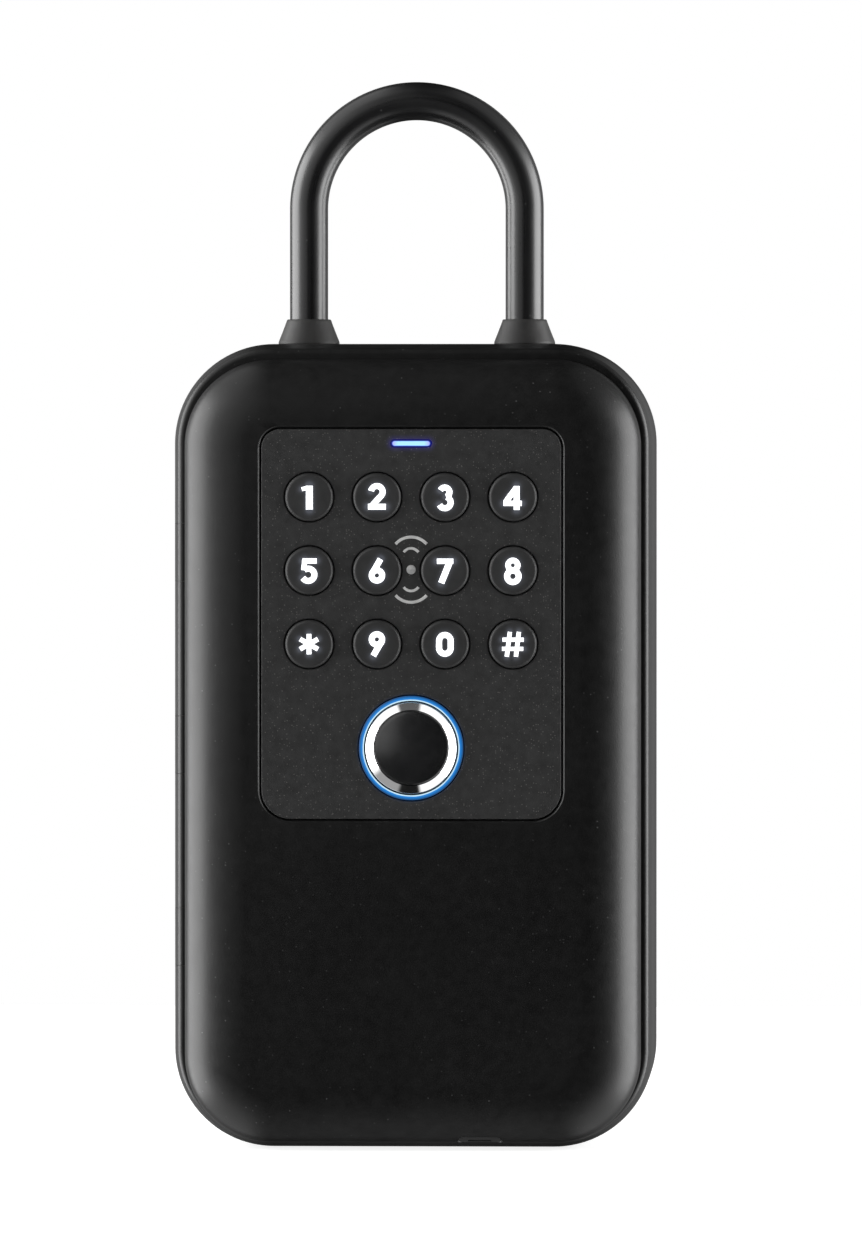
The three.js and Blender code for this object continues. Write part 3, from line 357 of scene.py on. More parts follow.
def roughened(tree, shader, share, smooth, rough):
    """Gives the shader a roughness between two, by a share that varies over the surface."""
    wire(tree, spanned(tree, share, 0, 1, smooth, rough), shader.inputs["Roughness"])


def grey(level):
    return (level, level, level)


def coated(name, dark, light, fleck, rough, grains, share, height):
    """A grained finish: two shades mottled together, flecks on top, and a fine bump."""
    material, tree, shader = new_material(name)
    texture = placed(tree, grain, Grains=grains, Fleck_Share=share)
    marks = placed(tree, handling)
    tone = blended(tree, texture.outputs["Mottle"], dark, light)
    painted(tree, shader, texture.outputs["Fleck"], tone, fleck)
    uneven = plus(tree, times(tree, texture.outputs["Mottle"], 0.06),
                  times(tree, marks.outputs["Smudge"], 0.05))
    wire(tree, plus(tree, uneven, rough), shader.inputs["Roughness"])
    bumped(tree, shader, texture.outputs["Height"], height)
    return material


powder_coat = coated("black_powder_coat", grey(0.0033), grey(0.0048), grey(0.08), 0.32, 3400.0, 0.05, 0.00002)
rear_case.data.materials.append(powder_coat)
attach(rear_case, "case")
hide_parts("rear_case")

# Door cover. The door's outside is a second casting with a wide, soft shoulder all round and a
# window for the keypad. Its three hinge knuckles lie flush in the case's rim on the left.
DOOR = dict(left=-47.4, right=47.4, bottom=1.5, top=164, low=18, high=18)
PANEL = dict(left=-31.05, right=31.05, bottom=68.9, top=149.6, low=6, high=4)
USB_INLET = dict(left=9.5, right=18.5, bottom=-1.6, top=1.6, low=1.4, high=1.4)
USB_DEPTH = 6.5
COVER_WALL = 2.2


def cover_shell():
    """The cover's wall, followed from its back edge over the shoulder, through the window and back
    along the inside."""
    outside = [(DOOR, 0.35, 9.5), (DOOR, 0.1, 9.4), (DOOR, 0, 9.15)]
    outside += [(DOOR, 13 * (1 - math.sin(turn)), 8.5 * (1 - math.cos(turn)))
                for turn in arc_steps(90, 0, 30)]
    chamfer_and_ledge = [(-0.70, 0), (-0.68, 0.008), (-0.36, 0.24), (-0.3, 0.34), (-0.3, 2.6), (1.4, 2.7),
                         (1.4, 4.4), (-1.3, 4.4), (-1.3, 2.25)]
    window = [(PANEL, inset, depth) for inset, depth in chamfer_and_ledge]
    inside = [(DOOR, COVER_WALL + 10.8 * (1 - math.sin(turn)), COVER_WALL + 6.3 * (1 - math.cos(turn)))
              for turn in arc_steps(0, 90, 12)]
    back_edge = [(DOOR, COVER_WALL, 9.5)]
    return shelled("cover_shell", outside + window + inside + back_edge, looped=True, steps=28)


def plate(name, rim, holes, front, back, edge, lying=False):
    """A flat plate with holes: the outlines are filled, thickened and their edges rounded. It stands
    in the plane of the door from front to back, or lies level between those two heights."""
    drawing = bpy.data.curves.new(name, "CURVE")
    drawing.dimensions, drawing.fill_mode = "2D", "BOTH"
    drawing.extrude = (back - front) / 2000 - edge / 1000
    drawing.bevel_depth, drawing.bevel_resolution, drawing.offset = edge / 1000, 2, -edge / 1000
    for points in [rim] + [list(reversed(hole)) for hole in holes]:
        line = drawing.splines.new("POLY")
        line.points.add(len(points) - 1)
        line.use_cyclic_u = True
        for point, (across, other) in zip(line.points, points):
            point.co = (across / 1000, other / 1000, 0, 1)
    holder = bpy.data.objects.new(name, drawing)
    bpy.context.scene.collection.objects.link(holder)
    graph = bpy.context.evaluated_depsgraph_get()
    mesh = bpy.data.meshes.new_from_object(holder.evaluated_get(graph), depsgraph=graph)
    bpy.data.objects.remove(holder)
    bpy.data.curves.remove(drawing)
    middle = (front + back) / 2
    for vertex in mesh.vertices:
        across, other, thick = (1000 * number for number in vertex.co)
        if lying:
            vertex.co = spot(across, other, middle + thick)
        else:
            vertex.co = spot(across, middle - thick, other)
    shell = bmesh.new()
    shell.from_mesh(mesh)
    bmesh.ops.remove_doubles(shell, verts=shell.verts, dist=1e-6)
    bmesh.ops.recalc_face_normals(shell, faces=shell.faces)
    shell.to_mesh(mesh)
    shell.free()
    return mesh


def knuckle(low):
    """One barrel of the hinge, with the short web that joins it to the door."""
    high, across, depth = low + KNUCKLE_LENGTH, *HINGE_LINE
    nose = [(inset - 50, along) for inset, along in RIM_NOSE[2:]]
    back = [(across + 2.3 * math.cos(turn), depth + 2.3 * math.sin(turn)) for turn in arc_steps(-84, 150, 26)]
    bore = [(across + 1.2 * math.cos(turn), depth + 1.2 * math.sin(turn)) for turn in arc_steps(0, 345, 23)]
    barrel = plate("knuckle", nose + back, [bore], low, high, 0.06, lying=True)
    return [barrel, boxed("web", across + 0.4, across + 1.9, 7.3, depth, low, high, 0.2)]


def pill(name, shape, near, far, upright=False, edge=0.0):
    """A rounded shape with softened edges. It runs back from near to far, or upwards at the inlet."""
    levels = [(edge, near), (edge * 0.3, near + edge * 0.3), (0, near + edge), (0, far - edge),
              (edge * 0.3, far - edge * 0.3), (edge, far)] if edge else [(0, near), (0, far)]
    rings = []
    for inset, level in levels:
        points = outline(shape, inset, 10)
        if upright:
            rings.append([spot(across, USB_DEPTH + other, level) for across, other in points])
        else:
            rings.append([spot(across, level, up) for across, up in points])
    return skinned(name, rings)


def widened(shape, by):
    """A rounded shape grown by the same distance on every side."""
    return dict(shape, left=shape["left"] - by, right=shape["right"] + by, bottom=shape["bottom"] - by,
                top=shape["top"] + by, low=shape["low"] + by, high=shape["high"] + by)


inlet_room = pill("inlet_room", widened(USB_INLET, 0.2), -1, 6.3, upright=True)
TRAY_SCREWS = [(-37, 152), (37, 152), (-28, 12.5), (28, 12.5)]
COVER_POST = [(1.1, 2.0), (2.8, 2.0), (2.8, 7.9), (2.7, 8.0), (1.1, 8.0)]
cover_posts = [turned("post", COVER_POST, across, up, 24) for across, up in TRAY_SCREWS]
cover = gathered("front_casting", [carved("front_casting", cover_shell(), [inlet_room])] + cover_posts
                 + [mesh for low in KNUCKLES for mesh in knuckle(low)])
front_cover = piece("front_casting", cover, powder_coat)
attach(front_cover, "door")
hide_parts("front_cover")

# Keypad panel. A flat moulded plate lies in the door's window with its face flush. It is dark grey
# with a stippled surface, and has twelve round key holes, a slot for the light and the sensor's hole.
KEY_ROWS = (("1", "2", "3", "4"), ("5", "6", "7", "8"), ("star", "9", "0", "hash"))
KEY_PLACES = {label: (-21.1 + 14.06 * column, 135.5 - 15.2 * row)
              for row, labels in enumerate(KEY_ROWS) for column, label in enumerate(labels)}
SENSOR_UP = 83.6
LIGHT = dict(left=-4.15, right=4.15, bottom=145.95, top=147.25, low=0.62, high=0.62)
LIGHT_MIDDLE = (0, 146.6)


def round_hole(across, up, radius, sides=64):
    turns = [2 * math.pi * side / sides for side in range(sides)]
    return [(across + radius * math.cos(turn), up + radius * math.sin(turn)) for turn in turns]


key_holes = [round_hole(across, up, 5.2) for across, up in KEY_PLACES.values()]
panel_holes = key_holes + [outline(widened(LIGHT, 0.15), 0, 8), round_hole(0, SENSOR_UP, 11.05, 96)]
keypad_panel = piece("panel_plate", plate("panel_plate", outline(PANEL), panel_holes, 0, 2.4, 0.26))


def surface_place(tree):
    """How far across, back and up on the object each point of a surface lies, in metres."""
    where = made(tree, "ShaderNodeSeparateXYZ", [(0, object_place(tree))])
    return [where.outputs[axis] for axis in "XYZ"]


def glow_near(tree, middle, half_wide, half_tall, reach):
    """How strongly light from a lit pill or disc shows on the surface round it, from 1 at its edge
    to 0 at the given reach. The pill lies across; a disc has a half width of nothing."""
    across, _, up = surface_place(tree)
    aside = counted(tree, "ABSOLUTE", counted(tree, "SUBTRACT", across, middle[0] / 1000))
    beside = counted(tree, "MAXIMUM", counted(tree, "SUBTRACT", aside, half_wide / 1000), 0.0)
    above = counted(tree, "SUBTRACT", up, middle[1] / 1000)
    far = counted(tree, "SQRT", plus(tree, times(tree, beside, beside), times(tree, above, above)))
    share = spanned(tree, far, (half_tall + reach) / 1000, half_tall / 1000)
    return counted(tree, "POWER", share, 2.2)


panel_finish = coated("stippled_panel", grey(0.0120), (0.0245, 0.0246, 0.0247), (0.20, 0.19, 0.18), 0.5,
                      4800.0, 0.34, 0.00005)
tree, shader = panel_finish.node_tree, panel_finish.node_tree.nodes["Principled BSDF"]
# The panel's face glows faintly round the status light and the sensor ring. This is painted light, the glow
# those lamps would throw on it, given as emission on the panel itself.
violet = glow_near(tree, LIGHT_MIDDLE, 3.5, 0.62, 1.6)
blue = glow_near(tree, (0, SENSOR_UP), 0, 10.8, 1.0)
painted_lamp_glow = blended(tree, violet, grey(0.0), (0.012, 0.008, 0.10))
painted_ring_glow = blended(tree, blue, grey(0.0), (0.0, 0.010, 0.035))
wire(tree, blended(tree, 1.0, painted_lamp_glow, painted_ring_glow, "ADD"), shader.inputs["Emission Color"])
shader.inputs["Emission Strength"].default_value = 1.0
keypad_panel.data.materials.append(panel_finish)
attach(keypad_panel, "door")
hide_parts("keypad_panel")

# Keys. Twelve round caps with a soft rounded edge and a wider foot that keeps them behind the
# panel. Light from behind shows through each figure, so a little of it spills over the cap.
STROKE = 1.22


def bend(across, up, radius, start, end, steps=14):
    """Points round an arc, between two angles in degrees."""
    return [(across + radius * math.cos(turn), up + radius * math.sin(turn))
            for turn in arc_steps(start, end, steps)]


# Each figure is a list of (width, centre line) strokes, in millimetres from the middle of its key
FIGURES = {
    "1": [(1.42, [(0.08, -2.55), (0.08, 2.35)]), (0.85, [(-1.5, 1.62), (-0.4, 1.93), (0.3, 1.93)])],
    "2": [(STROKE, bend(0.0, 1.1, 1.2, 172, -38) + [(-1.0, -1.75)]),
          (STROKE, [(-1.85, -1.98), (1.85, -1.98)])],
    "3": [(STROKE, bend(-0.02, 1.02, 0.98, 155, -72)), (STROKE, bend(0.0, -1.1, 1.2, 72, -155))],
    "4": [(STROKE, [(0.78, -2.65), (0.78, 2.3)]), (1.1, [(-1.95, -1.28), (1.85, -1.28)]),
          (1.15, [(0.75, 2.0), (-1.5, -1.0)])],
    "5": [(1.1, [(-1.35, 2.0), (1.6, 2.0)]), (1.05, [(-0.85, 2.3), (-1.1, 0.1)]),
          (STROKE, bend(-0.15, -0.85, 1.28, 128, -150))],
    "6": [(STROKE, bend(0.0, -0.98, 1.08, 0, 360, 28)), (STROKE, [(0.75, 2.4), (-0.9, -0.45)])],
    "7": [(1.1, [(-1.65, 1.95), (1.75, 1.95)]), (1.28, [(1.15, 2.15), (-0.75, -2.55)])],
    "8": [(1.15, bend(0.0, 1.12, 1.0, 0, 360, 28)), (STROKE, bend(0.0, -1.15, 1.2, 0, 360, 28))],
    "9": [(STROKE, bend(0.0, 0.98, 1.08, 0, 360, 28)), (STROKE, [(-0.75, -2.4), (0.9, 0.45)])],
    "0": [(STROKE, bend(0, 0.72, 1.2, 0, 180) + bend(0, -0.78, 1.2, 180, 360) + [(1.2, 0.72)])],
    "star": [(0.98, [(0, -2.1), (0, 2.1)]), (0.98, [(-1.85, -1.05), (1.85, 1.05)]),
             (0.98, [(-1.85, 1.05), (1.85, -1.05)])],
    "hash": [(0.88, [(-1.25, -2.55), (-0.62, 2.55)]), (0.88, [(0.62, -2.55), (1.25, 2.55)]),
             (0.85, [(-2.15, 0.95), (2.25, 0.95)]), (0.85, [(-2.25, -0.95), (2.15, -0.95)])],
}


def figure_distance(label, across, up):
    """How far a point of the cap lies from the nearest stroke's edge, in millimetres."""
    nearest = 9.0
    for width, line in FIGURES[label]:
        for (ax, az), (bx, bz) in zip(line, line[1:]):
            run = (bx - ax) ** 2 + (bz - az) ** 2
            along = (across - ax) * (bx - ax) + (up - az) * (bz - az)
            share = 0 if run == 0 else max(0, min(1, along / run))
            gap = math.hypot(across - ax - share * (bx - ax), up - az - share * (bz - az)) - width / 2
            nearest = min(nearest, gap)
    return max(nearest, 0)


CAP_FRONT, CAP_RADIUS, CAP_EDGE, SPILL_REACH = -0.76, 5.0, 0.72, 0.33


def key_cap(label, across, up):
    """A cap whose front holds, at each point, how much of its figure's light spills there."""
    profile = [(0, CAP_FRONT)] + [(0.35 * step, CAP_FRONT) for step in range(1, 13)]
    profile += [(CAP_RADIUS - CAP_EDGE * (1 - math.sin(turn)), CAP_FRONT + CAP_EDGE * (1 - math.cos(turn)))
                for turn in arc_steps(0, 90, 6)]
    profile += [(CAP_RADIUS, 2.45), (5.15, 2.6), (5.7, 2.6), (5.8, 2.7), (5.8, 3.4), (0, 3.4)]
    mesh = turned("cap_" + label, profile, across, up, 72)
    spill = mesh.attributes.new("spill", "FLOAT", "POINT")
    for index, vertex in enumerate(mesh.vertices):
        aside, above = 1000 * vertex.co.x - across, 1000 * vertex.co.z - up
        on_front = vertex.co.y * 1000 + DOOR_FACE < -0.5
        away = figure_distance(label, aside, above) / SPILL_REACH
        spill.data[index].value = math.exp(-away) if on_front else 0
    return mesh


key_finish = coated("key_caps", (0.0205, 0.0206, 0.0207), (0.0270, 0.0271, 0.0272), grey(0.11), 0.42,
                    3600.0, 0.035, 0.000012)
tree, shader = key_finish.node_tree, key_finish.node_tree.nodes["Principled BSDF"]
spilled = tree.nodes.new("ShaderNodeAttribute")
spilled.attribute_name = "spill"
painted(tree, shader, spilled.outputs["Fac"], grey(0.0), (0.055, 0.06, 0.075), "Emission Color")
shader.inputs["Emission Strength"].default_value = 1.0
for label, (across, up) in KEY_PLACES.items():
    cap = piece("cap_" + label, key_cap(label, across, up), key_finish, 40)
    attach(cap, "key_" + label)
    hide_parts("key_" + label)


# Figures. Clear white plastic fills each figure in its cap and shines with the light behind it. The
# strokes are drawn as centre lines and a node tree gives them their width and thickness.
def geometry_tree(name, inputs, output):
    """An empty node tree for shapes, with the given inputs and one output of geometry."""
    tree = bpy.data.node_groups.new(name, "GeometryNodeTree")
    tree.is_modifier = True
    for label, kind in inputs:
        tree.interface.new_socket(label, in_out="INPUT", socket_type="NodeSocket" + kind)
    tree.interface.new_socket(output, in_out="OUTPUT", socket_type="NodeSocketGeometry")
    return tree, tree.nodes.new("NodeGroupInput"), tree.nodes.new("NodeGroupOutput")


figure_tree, entry, leave = geometry_tree(
    "lit_strokes", (("Strokes", "Geometry"), ("Stroke Width", "Float"), ("Thickness", "Float"),
                    ("Middle", "Vector"), ("Finish", "Material")), "Figure")
section = made(figure_tree, "GeometryNodeCurvePrimitiveQuadrilateral",
               [("Width", entry.outputs["Stroke Width"]), ("Height", entry.outputs["Thickness"])])
level = made(figure_tree, "GeometryNodeSetCurveNormal", [("Curve", entry.outputs["Strokes"])], mode="Z_UP")
radius = made(figure_tree, "GeometryNodeInputRadius")
body = made(figure_tree, "GeometryNodeCurveToMesh",
            [("Curve", level.outputs["Curve"]), ("Profile Curve", section.outputs["Curve"]),
             ("Scale", radius.outputs["Radius"]), ("Fill Caps", True)])
stood = made(figure_tree, "GeometryNodeTransform",
             [("Geometry", body.outputs["Mesh"]), ("Rotation", (math.pi / 2, 0, 0)),
              ("Translation", entry.outputs["Middle"])])
dressed = made(figure_tree, "GeometryNodeSetMaterial",
               [("Geometry", stood.outputs["Geometry"]), ("Material", entry.outputs["Finish"])])
wire(figure_tree, dressed.outputs["Geometry"], leave.inputs["Figure"])


def grown(name, source, tree, inputs):
    """Runs a node tree on a mesh or curve and keeps the result as a plain mesh object."""
    carrier = bpy.data.objects.new(name + "_source", source)
    bpy.context.scene.collection.objects.link(carrier)
    growth = carrier.modifiers.new("growth", "NODES")
    growth.node_group = tree
    for item in tree.interface.items_tree:
        if item.item_type == "SOCKET" and item.in_out == "INPUT" and item.name in inputs:
            growth[item.identifier] = inputs[item.name]
    graph = bpy.context.evaluated_depsgraph_get()
    mesh = bpy.data.meshes.new_from_object(carrier.evaluated_get(graph), depsgraph=graph)
    mesh.name = name
    bpy.data.objects.remove(carrier)
    result = bpy.data.objects.new(name, mesh)
    bpy.context.scene.collection.objects.link(result)
    return result


def stroke_lines(name, strokes, usual_width):
    """Centre lines in a plane, each with its own share of the usual width. One that ends where it
    starts is a closed loop."""
    lines = bpy.data.curves.new(name, "CURVE")
    lines.dimensions = "3D"
    for width, points in strokes:
        met = math.dist(points[0], points[-1]) < 0.01
        points = points[:-1] if met else points
        line = lines.splines.new("POLY")
        line.points.add(len(points) - 1)
        line.use_cyclic_u = met
        for point, (across, up) in zip(line.points, points):
            point.co = (across / 1000, up / 1000, 0, 1)
            point.radius = width / usual_width
    return lines


lit_white, tree, shader = new_material("lit_figures", Roughness=0.35)
shine = placed(tree, handling, Spread=900.0)
painted(tree, shader, shine.outputs["Smudge"], (0.86, 0.88, 0.92), (0.94, 0.95, 0.97))
painted(tree, shader, shine.outputs["Smudge"], (0.93, 0.96, 1.0), grey(1.0), "Emission Color")
shader.inputs["Emission Strength"].default_value = 1.15
for label, (across, up) in KEY_PLACES.items():
    figure = grown("figure_" + label, stroke_lines("lines_" + label, FIGURES[label], STROKE), figure_tree,
                   {"Stroke Width": STROKE / 1000, "Thickness": 0.00008,
                    "Middle": spot(across, CAP_FRONT + 0.01, up), "Finish": lit_white})
    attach(figure, "key_" + label)

# Card mark. Waves above and below a dot, printed in pale grey between the keys, show where a card
# or tag is held.
CARD_MARK_UP = 120.5


def wave(centre, radius, half_angle, towards):
    middle = 90 * towards
    return bend(0, centre * towards, radius, middle - half_angle, middle + half_angle, 16)


MARK_WIDTH = 0.62
mark_strokes = [(MARK_WIDTH, wave(2.5, 4.25, 49, towards)) for towards in (1, -1)]
mark_strokes += [(0.55, wave(2.55, 1.85, 55, towards)) for towards in (1, -1)]
mark_strokes += [(0.98, bend(0, 0, 0.47, 0, 360, 24))]
print_grey, tree, shader = new_material("printed_grey", Roughness=0.55)
worn = placed(tree, grain, Grains=2200.0, Fleck_Share=0.0)
painted(tree, shader, worn.outputs["Mottle"], grey(0.44), (0.62, 0.62, 0.61))
bumped(tree, shader, worn.outputs["Height"], 0.00001)
card_mark = grown("card_mark", stroke_lines("mark_lines", mark_strokes, MARK_WIDTH), figure_tree,
                  {"Stroke Width": MARK_WIDTH / 1000, "Thickness": 0.00004,
                   "Middle": spot(0, -0.012, CARD_MARK_UP), "Finish": print_grey})
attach(card_mark, "door")

# Status light. A clear bar set in the top of the panel; a lamp behind it shines blue-white in the
# middle of the bar and deep blue at its edges.
lamp_bar = gathered("lamp_bar", [pill("bar", LIGHT, -0.02, 2.8, edge=0.12),
                                 pill("foot", widened(LIGHT, 0.65), 2.7, 3.35, edge=0.05)])
lamp_white, tree, shader = new_material("lit_bar", Roughness=0.3)
core = glow_near(tree, LIGHT_MIDDLE, 3.4, 0.0, 0.78)
speck = placed(tree, grain, Grains=900.0, Fleck_Share=0.0)
lit = plus(tree, core, times(tree, speck.outputs["Mottle"], 0.03))
white_part = spanned(tree, lit, 0.12, 0.24)
edge_tint = blended(tree, spanned(tree, core, 0.03, 0.13), (0.002, 0.003, 0.13), (0.10, 0.20, 0.90))
across, _, _ = surface_place(tree)
ends = spanned(tree, counted(tree, "ABSOLUTE", across), 0.0027, 0.0038)
middle_tint = blended(tree, ends, (0.40, 0.80, 1.0), (0.40, 0.38, 0.92))
painted(tree, shader, white_part, edge_tint, middle_tint, "Emission Color")
# The bar's base colour is also lighter where the lamp shines through it: painted light.
painted(tree, shader, white_part, (0.01, 0.01, 0.05), (0.10, 0.14, 0.2))
shader.inputs["Emission Strength"].default_value = 1.0
status_light = piece("lamp_bar", lamp_bar, lamp_white)
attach(status_light, "door")
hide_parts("status_light")

# Fingerprint sensor. A blue light ring lies in the panel's round hole; inside it stands a polished
# bezel, and in the bezel a slightly domed dark glass over the sensor module.
RING = [(9.8, -0.02), (10.6, -0.02), (10.8, 0.1), (10.85, 0.3), (10.85, 2.75), (12.1, 2.75), (12.2, 2.85),
        (12.2, 3.4), (12.1, 3.5), (9.8, 3.5)]
ring_blue, tree, shader = new_material("lit_blue_ring", Roughness=0.28)
centre = made(tree, "ShaderNodeVectorMath", [(0, object_place(tree)), (1, spot(0, 0, SENSOR_UP))],
              operation="SUBTRACT")
flat = made(tree, "ShaderNodeVectorMath", [(0, centre.outputs[0]), (1, (1, 0, 1))], operation="MULTIPLY")
length = made(tree, "ShaderNodeVectorMath", [(0, flat.outputs[0])], operation="LENGTH")
cloud = placed(tree, grain, Grains=500.0, Fleck_Share=0.0)
uneven = times(tree, counted(tree, "SUBTRACT", cloud.outputs["Mottle"], 0.5), 0.00008)
radial = plus(tree, length.outputs["Value"], uneven)
outer = blended(tree, spanned(tree, radial, 0.01085, 0.01025), (0.002, 0.012, 0.040), (0.008, 0.20, 0.60))
inner_edge = spanned(tree, radial, 0.01010, 0.00998)
painted(tree, shader, inner_edge, outer, (0.62, 0.88, 1.0), "Emission Color")
painted(tree, shader, cloud.outputs["Mottle"], (0.01, 0.03, 0.09), (0.015, 0.04, 0.11))
depth = made(tree, "ShaderNodeSeparateXYZ", [(0, centre.outputs[0])])
wire(tree, spanned(tree, depth.outputs["Y"], 0.0001, 0.0004, 1.0, 0.0), shader.inputs["Emission Strength"])
light_ring = piece("light_ring", turned("light_ring", RING, 0, SENSOR_UP, 128), ring_blue)
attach(light_ring, "door")
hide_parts("sensor_light_ring")

BEZEL = [(6.7, 1.75), (7.7, 1.7), (7.82, 1.6), (7.82, 0.4), (7.86, 0.3), (9.3, -0.77), (9.34, -0.8),
         (9.38, -0.78), (9.4, -0.74), (9.4, 0.6), (9.6, 0.7), (9.6, 3.75), (11.8, 3.8), (11.9, 3.9),
         (11.9, 4.5), (11.8, 4.6), (6.7, 4.6)]
chrome, tree, shader = new_material("polished_bezel", Metallic=1.0)
polish = placed(tree, handling, Spread=160.0)
painted(tree, shader, polish.outputs["Smudge"], (0.93, 0.93, 0.935), grey(0.97))
roughened(tree, shader, polish.outputs["Smudge"], 0.07, 0.11)
sensor_bezel = piece("bezel", turned("bezel", BEZEL, 0, SENSOR_UP, 160), chrome)
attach(sensor_bezel, "door")
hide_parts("sensor_bezel")

GLASS_FRONT, DOME_RADIUS, DOME_RISE = 0.12, 7.4, 0.6
glass_profile = [(DOME_RADIUS * step / 12, GLASS_FRONT + DOME_RISE * (step / 12) ** 2) for step in range(13)]
glass_profile += [(7.6, 0.8), (7.7, 0.92), (7.7, 1.3), (7.6, 1.4), (0, 1.4)]
smoked, tree, shader = new_material("smoked_glass", IOR=2.2)
finger = placed(tree, handling, Spread=420.0)
painted(tree, shader, finger.outputs["Smudge"], (0.0075, 0.0078, 0.0085), (0.0105, 0.011, 0.0115))
roughened(tree, shader, finger.outputs["Smudge"], 0.21, 0.27)
sensor_glass = piece("touch_glass", turned("touch_glass", glass_profile, 0, SENSOR_UP, 128), smoked)
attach(sensor_glass, "door")
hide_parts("sensor_glass")

# Shackle. A bent steel rod, coated satin black, with a neck near each foot where the lock's slide
# grips it. It is drawn as one skin swept along the bend, so that the coating's streaks run with it.
SHACKLE_ROD, SHACKLE_FOOT, BEND_CENTRE = 4.0, 149.7, 195.7
NECK_TOP = 7.6


def shackle_line():
    """(across, up, towards across, towards up, radius) along the rod from the left foot."""
    left, right = SHACKLE_LEGS
    foot = [(0.0, 3.45), (0.15, 3.75), (0.55, 4.0), (3.0, 4.0), (3.12, 3.93), (3.25, 3.6), (3.42, 3.02),
            (3.6, 2.9), (6.7, 2.9), (6.88, 3.02), (7.05, 3.6), (7.18, 3.93), (7.3, 4.0), (NECK_TOP, 4.0)]
    straight = BEND_CENTRE - SHACKLE_FOOT - NECK_TOP
    foot += [(NECK_TOP + straight * step / 24, SHACKLE_ROD) for step in range(1, 24)]
    rise = [(left, SHACKLE_FOOT + up, 0, 1, radius) for up, radius in foot]
    over = [(left * math.cos(turn), BEND_CENTRE + right * math.sin(turn), math.sin(turn), math.cos(turn),
             SHACKLE_ROD) for turn in arc_steps(0, 180, 72)]
    fall = [(right, up, 0, -1, radius) for _, up, _, _, radius in reversed(rise)]
    return rise + over + fall


def swept_rod(name, line, sides=64):
    """A round skin along a line, with a texture layout that runs along the rod."""
    rings = []
    turns = arc_steps(0, 360 - 360 / sides, sides - 1)
    for across, up, along_x, along_z, radius in line:
        ring = [(radius * math.cos(turn), radius * math.sin(turn)) for turn in turns]
        rings.append([spot(across + along_z * aside, SHACKLE_DEPTH + behind, up - along_x * aside)
                      for aside, behind in ring])
    mesh = skinned(name, rings)
    run = [0]
    for (ax, az, *_), (bx, bz, *_) in zip(line, line[1:]):
        run.append(run[-1] + math.hypot(bx - ax, bz - az) / 1000)
    layout = mesh.uv_layers.new(name="along")
    for polygon in mesh.polygons:
        seam = [mesh.loops[loop].vertex_index % sides for loop in polygon.loop_indices]
        wraps = len(polygon.loop_indices) == 4 and max(seam) - min(seam) > 1
        for loop, side in zip(polygon.loop_indices, seam):
            ring = mesh.loops[loop].vertex_index // sides
            turn = (sides if wraps and side == 0 else side) / sides
            layout.data[loop].uv = (turn * 2 * math.pi * SHACKLE_ROD / 1000, run[ring])
    return mesh


satin, tree, shader = new_material("satin_black_rod", Specular_IOR_Level=0.85)
along = made(tree, "ShaderNodeUVMap", uv_map="along")
stretched = made(tree, "ShaderNodeMapping", [("Vector", along.outputs["UV"]), ("Scale", (1500, 14, 1))])
streak = cloudy(tree, stretched.outputs["Vector"], 1.0, 3.0, 0.6)
satin_grain = placed(tree, grain, Grains=2600.0, Fleck_Share=0.03)
rubbed = placed(tree, handling, Spread=60.0)
tone = blended(tree, spanned(tree, streak, 0.35, 0.65), (0.0045, 0.0045, 0.0048), (0.0085, 0.0086, 0.009))
painted(tree, shader, satin_grain.outputs["Fleck"], tone, grey(0.06))
uneven = plus(tree, spanned(tree, streak, 0.3, 0.7, 0.24, 0.31), times(tree, rubbed.outputs["Smudge"], 0.05))
wire(tree, uneven, shader.inputs["Roughness"])
bumped(tree, shader, streak, 0.000004)
shackle = piece("shackle_rod", swept_rod("shackle_rod", shackle_line()), satin)
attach(shackle, "shackle")
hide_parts("shackle")

# Shackle boots. A rubber collar stands in the case's top round each leg and keeps rain out.
rubber = coated("matte_rubber", (0.022, 0.0215, 0.021), (0.034, 0.033, 0.032), grey(0.08), 0.46, 1500.0, 0.02,
                0.00002)
BOOT = [(4.15, 164.5), (5.3, 164.5), (5.4, 164.6), (5.4, 167.4), (6.3, 167.4), (6.4, 167.5), (6.38, 167.8),
        (6.3, 168.1), (5.5, 170.1), (4.78, 172.0), (4.66, 172.4), (4.45, 172.6), (4.3, 172.6), (4.15, 172.4)]
for side, across in zip(("left", "right"), SHACKLE_LEGS):
    boot_ring = turned("boot_ring_" + side, BOOT, across, 0, 96, SHACKLE_DEPTH)
    boot = piece("boot_ring_" + side, boot_ring, rubber)
    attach(boot, "case")
    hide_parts("boot_" + side)

# Door seal. A square rubber cord lies in the groove of the case's rim and the door closes on it.
CORD_SECTION = [(5.55, 10.0), (5.65, 9.8), (5.85, 9.7), (6.15, 9.7), (6.35, 9.8), (6.45, 10.0), (6.45, 10.9),
                (5.55, 10.9)]
seal_rings = [(CASE, inset, depth) for inset, depth in CORD_SECTION]
door_seal = piece("seal_cord", shelled("seal_cord", seal_rings, looped=True, steps=24), rubber)
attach(door_seal, "case")
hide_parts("door_seal")

# Hinge pin. A plain steel rod with turned ends runs down the left side through the knuckles.
bright_steel, tree, shader = new_material("bright_steel", Metallic=1.0)
turning = placed(tree, grain, Grains=1800.0, Fleck_Share=0.0)
painted(tree, shader, turning.outputs["Mottle"], (0.42, 0.42, 0.43), (0.55, 0.55, 0.56))
roughened(tree, shader, turning.outputs["Mottle"], 0.22, 0.36)
bumped(tree, shader, turning.outputs["Height"], 0.000003)
PIN = [(0, 17.0), (0.7, 17.0), (0.95, 17.2), (0.95, 131.9), (0.7, 132.1), (0, 132.1)]
hinge_pin = piece("pin_rod", turned("pin_rod", PIN, HINGE_LINE[0], 0, 40, HINGE_LINE[1]), bright_steel)
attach(hinge_pin, "case")
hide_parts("hinge_pin")

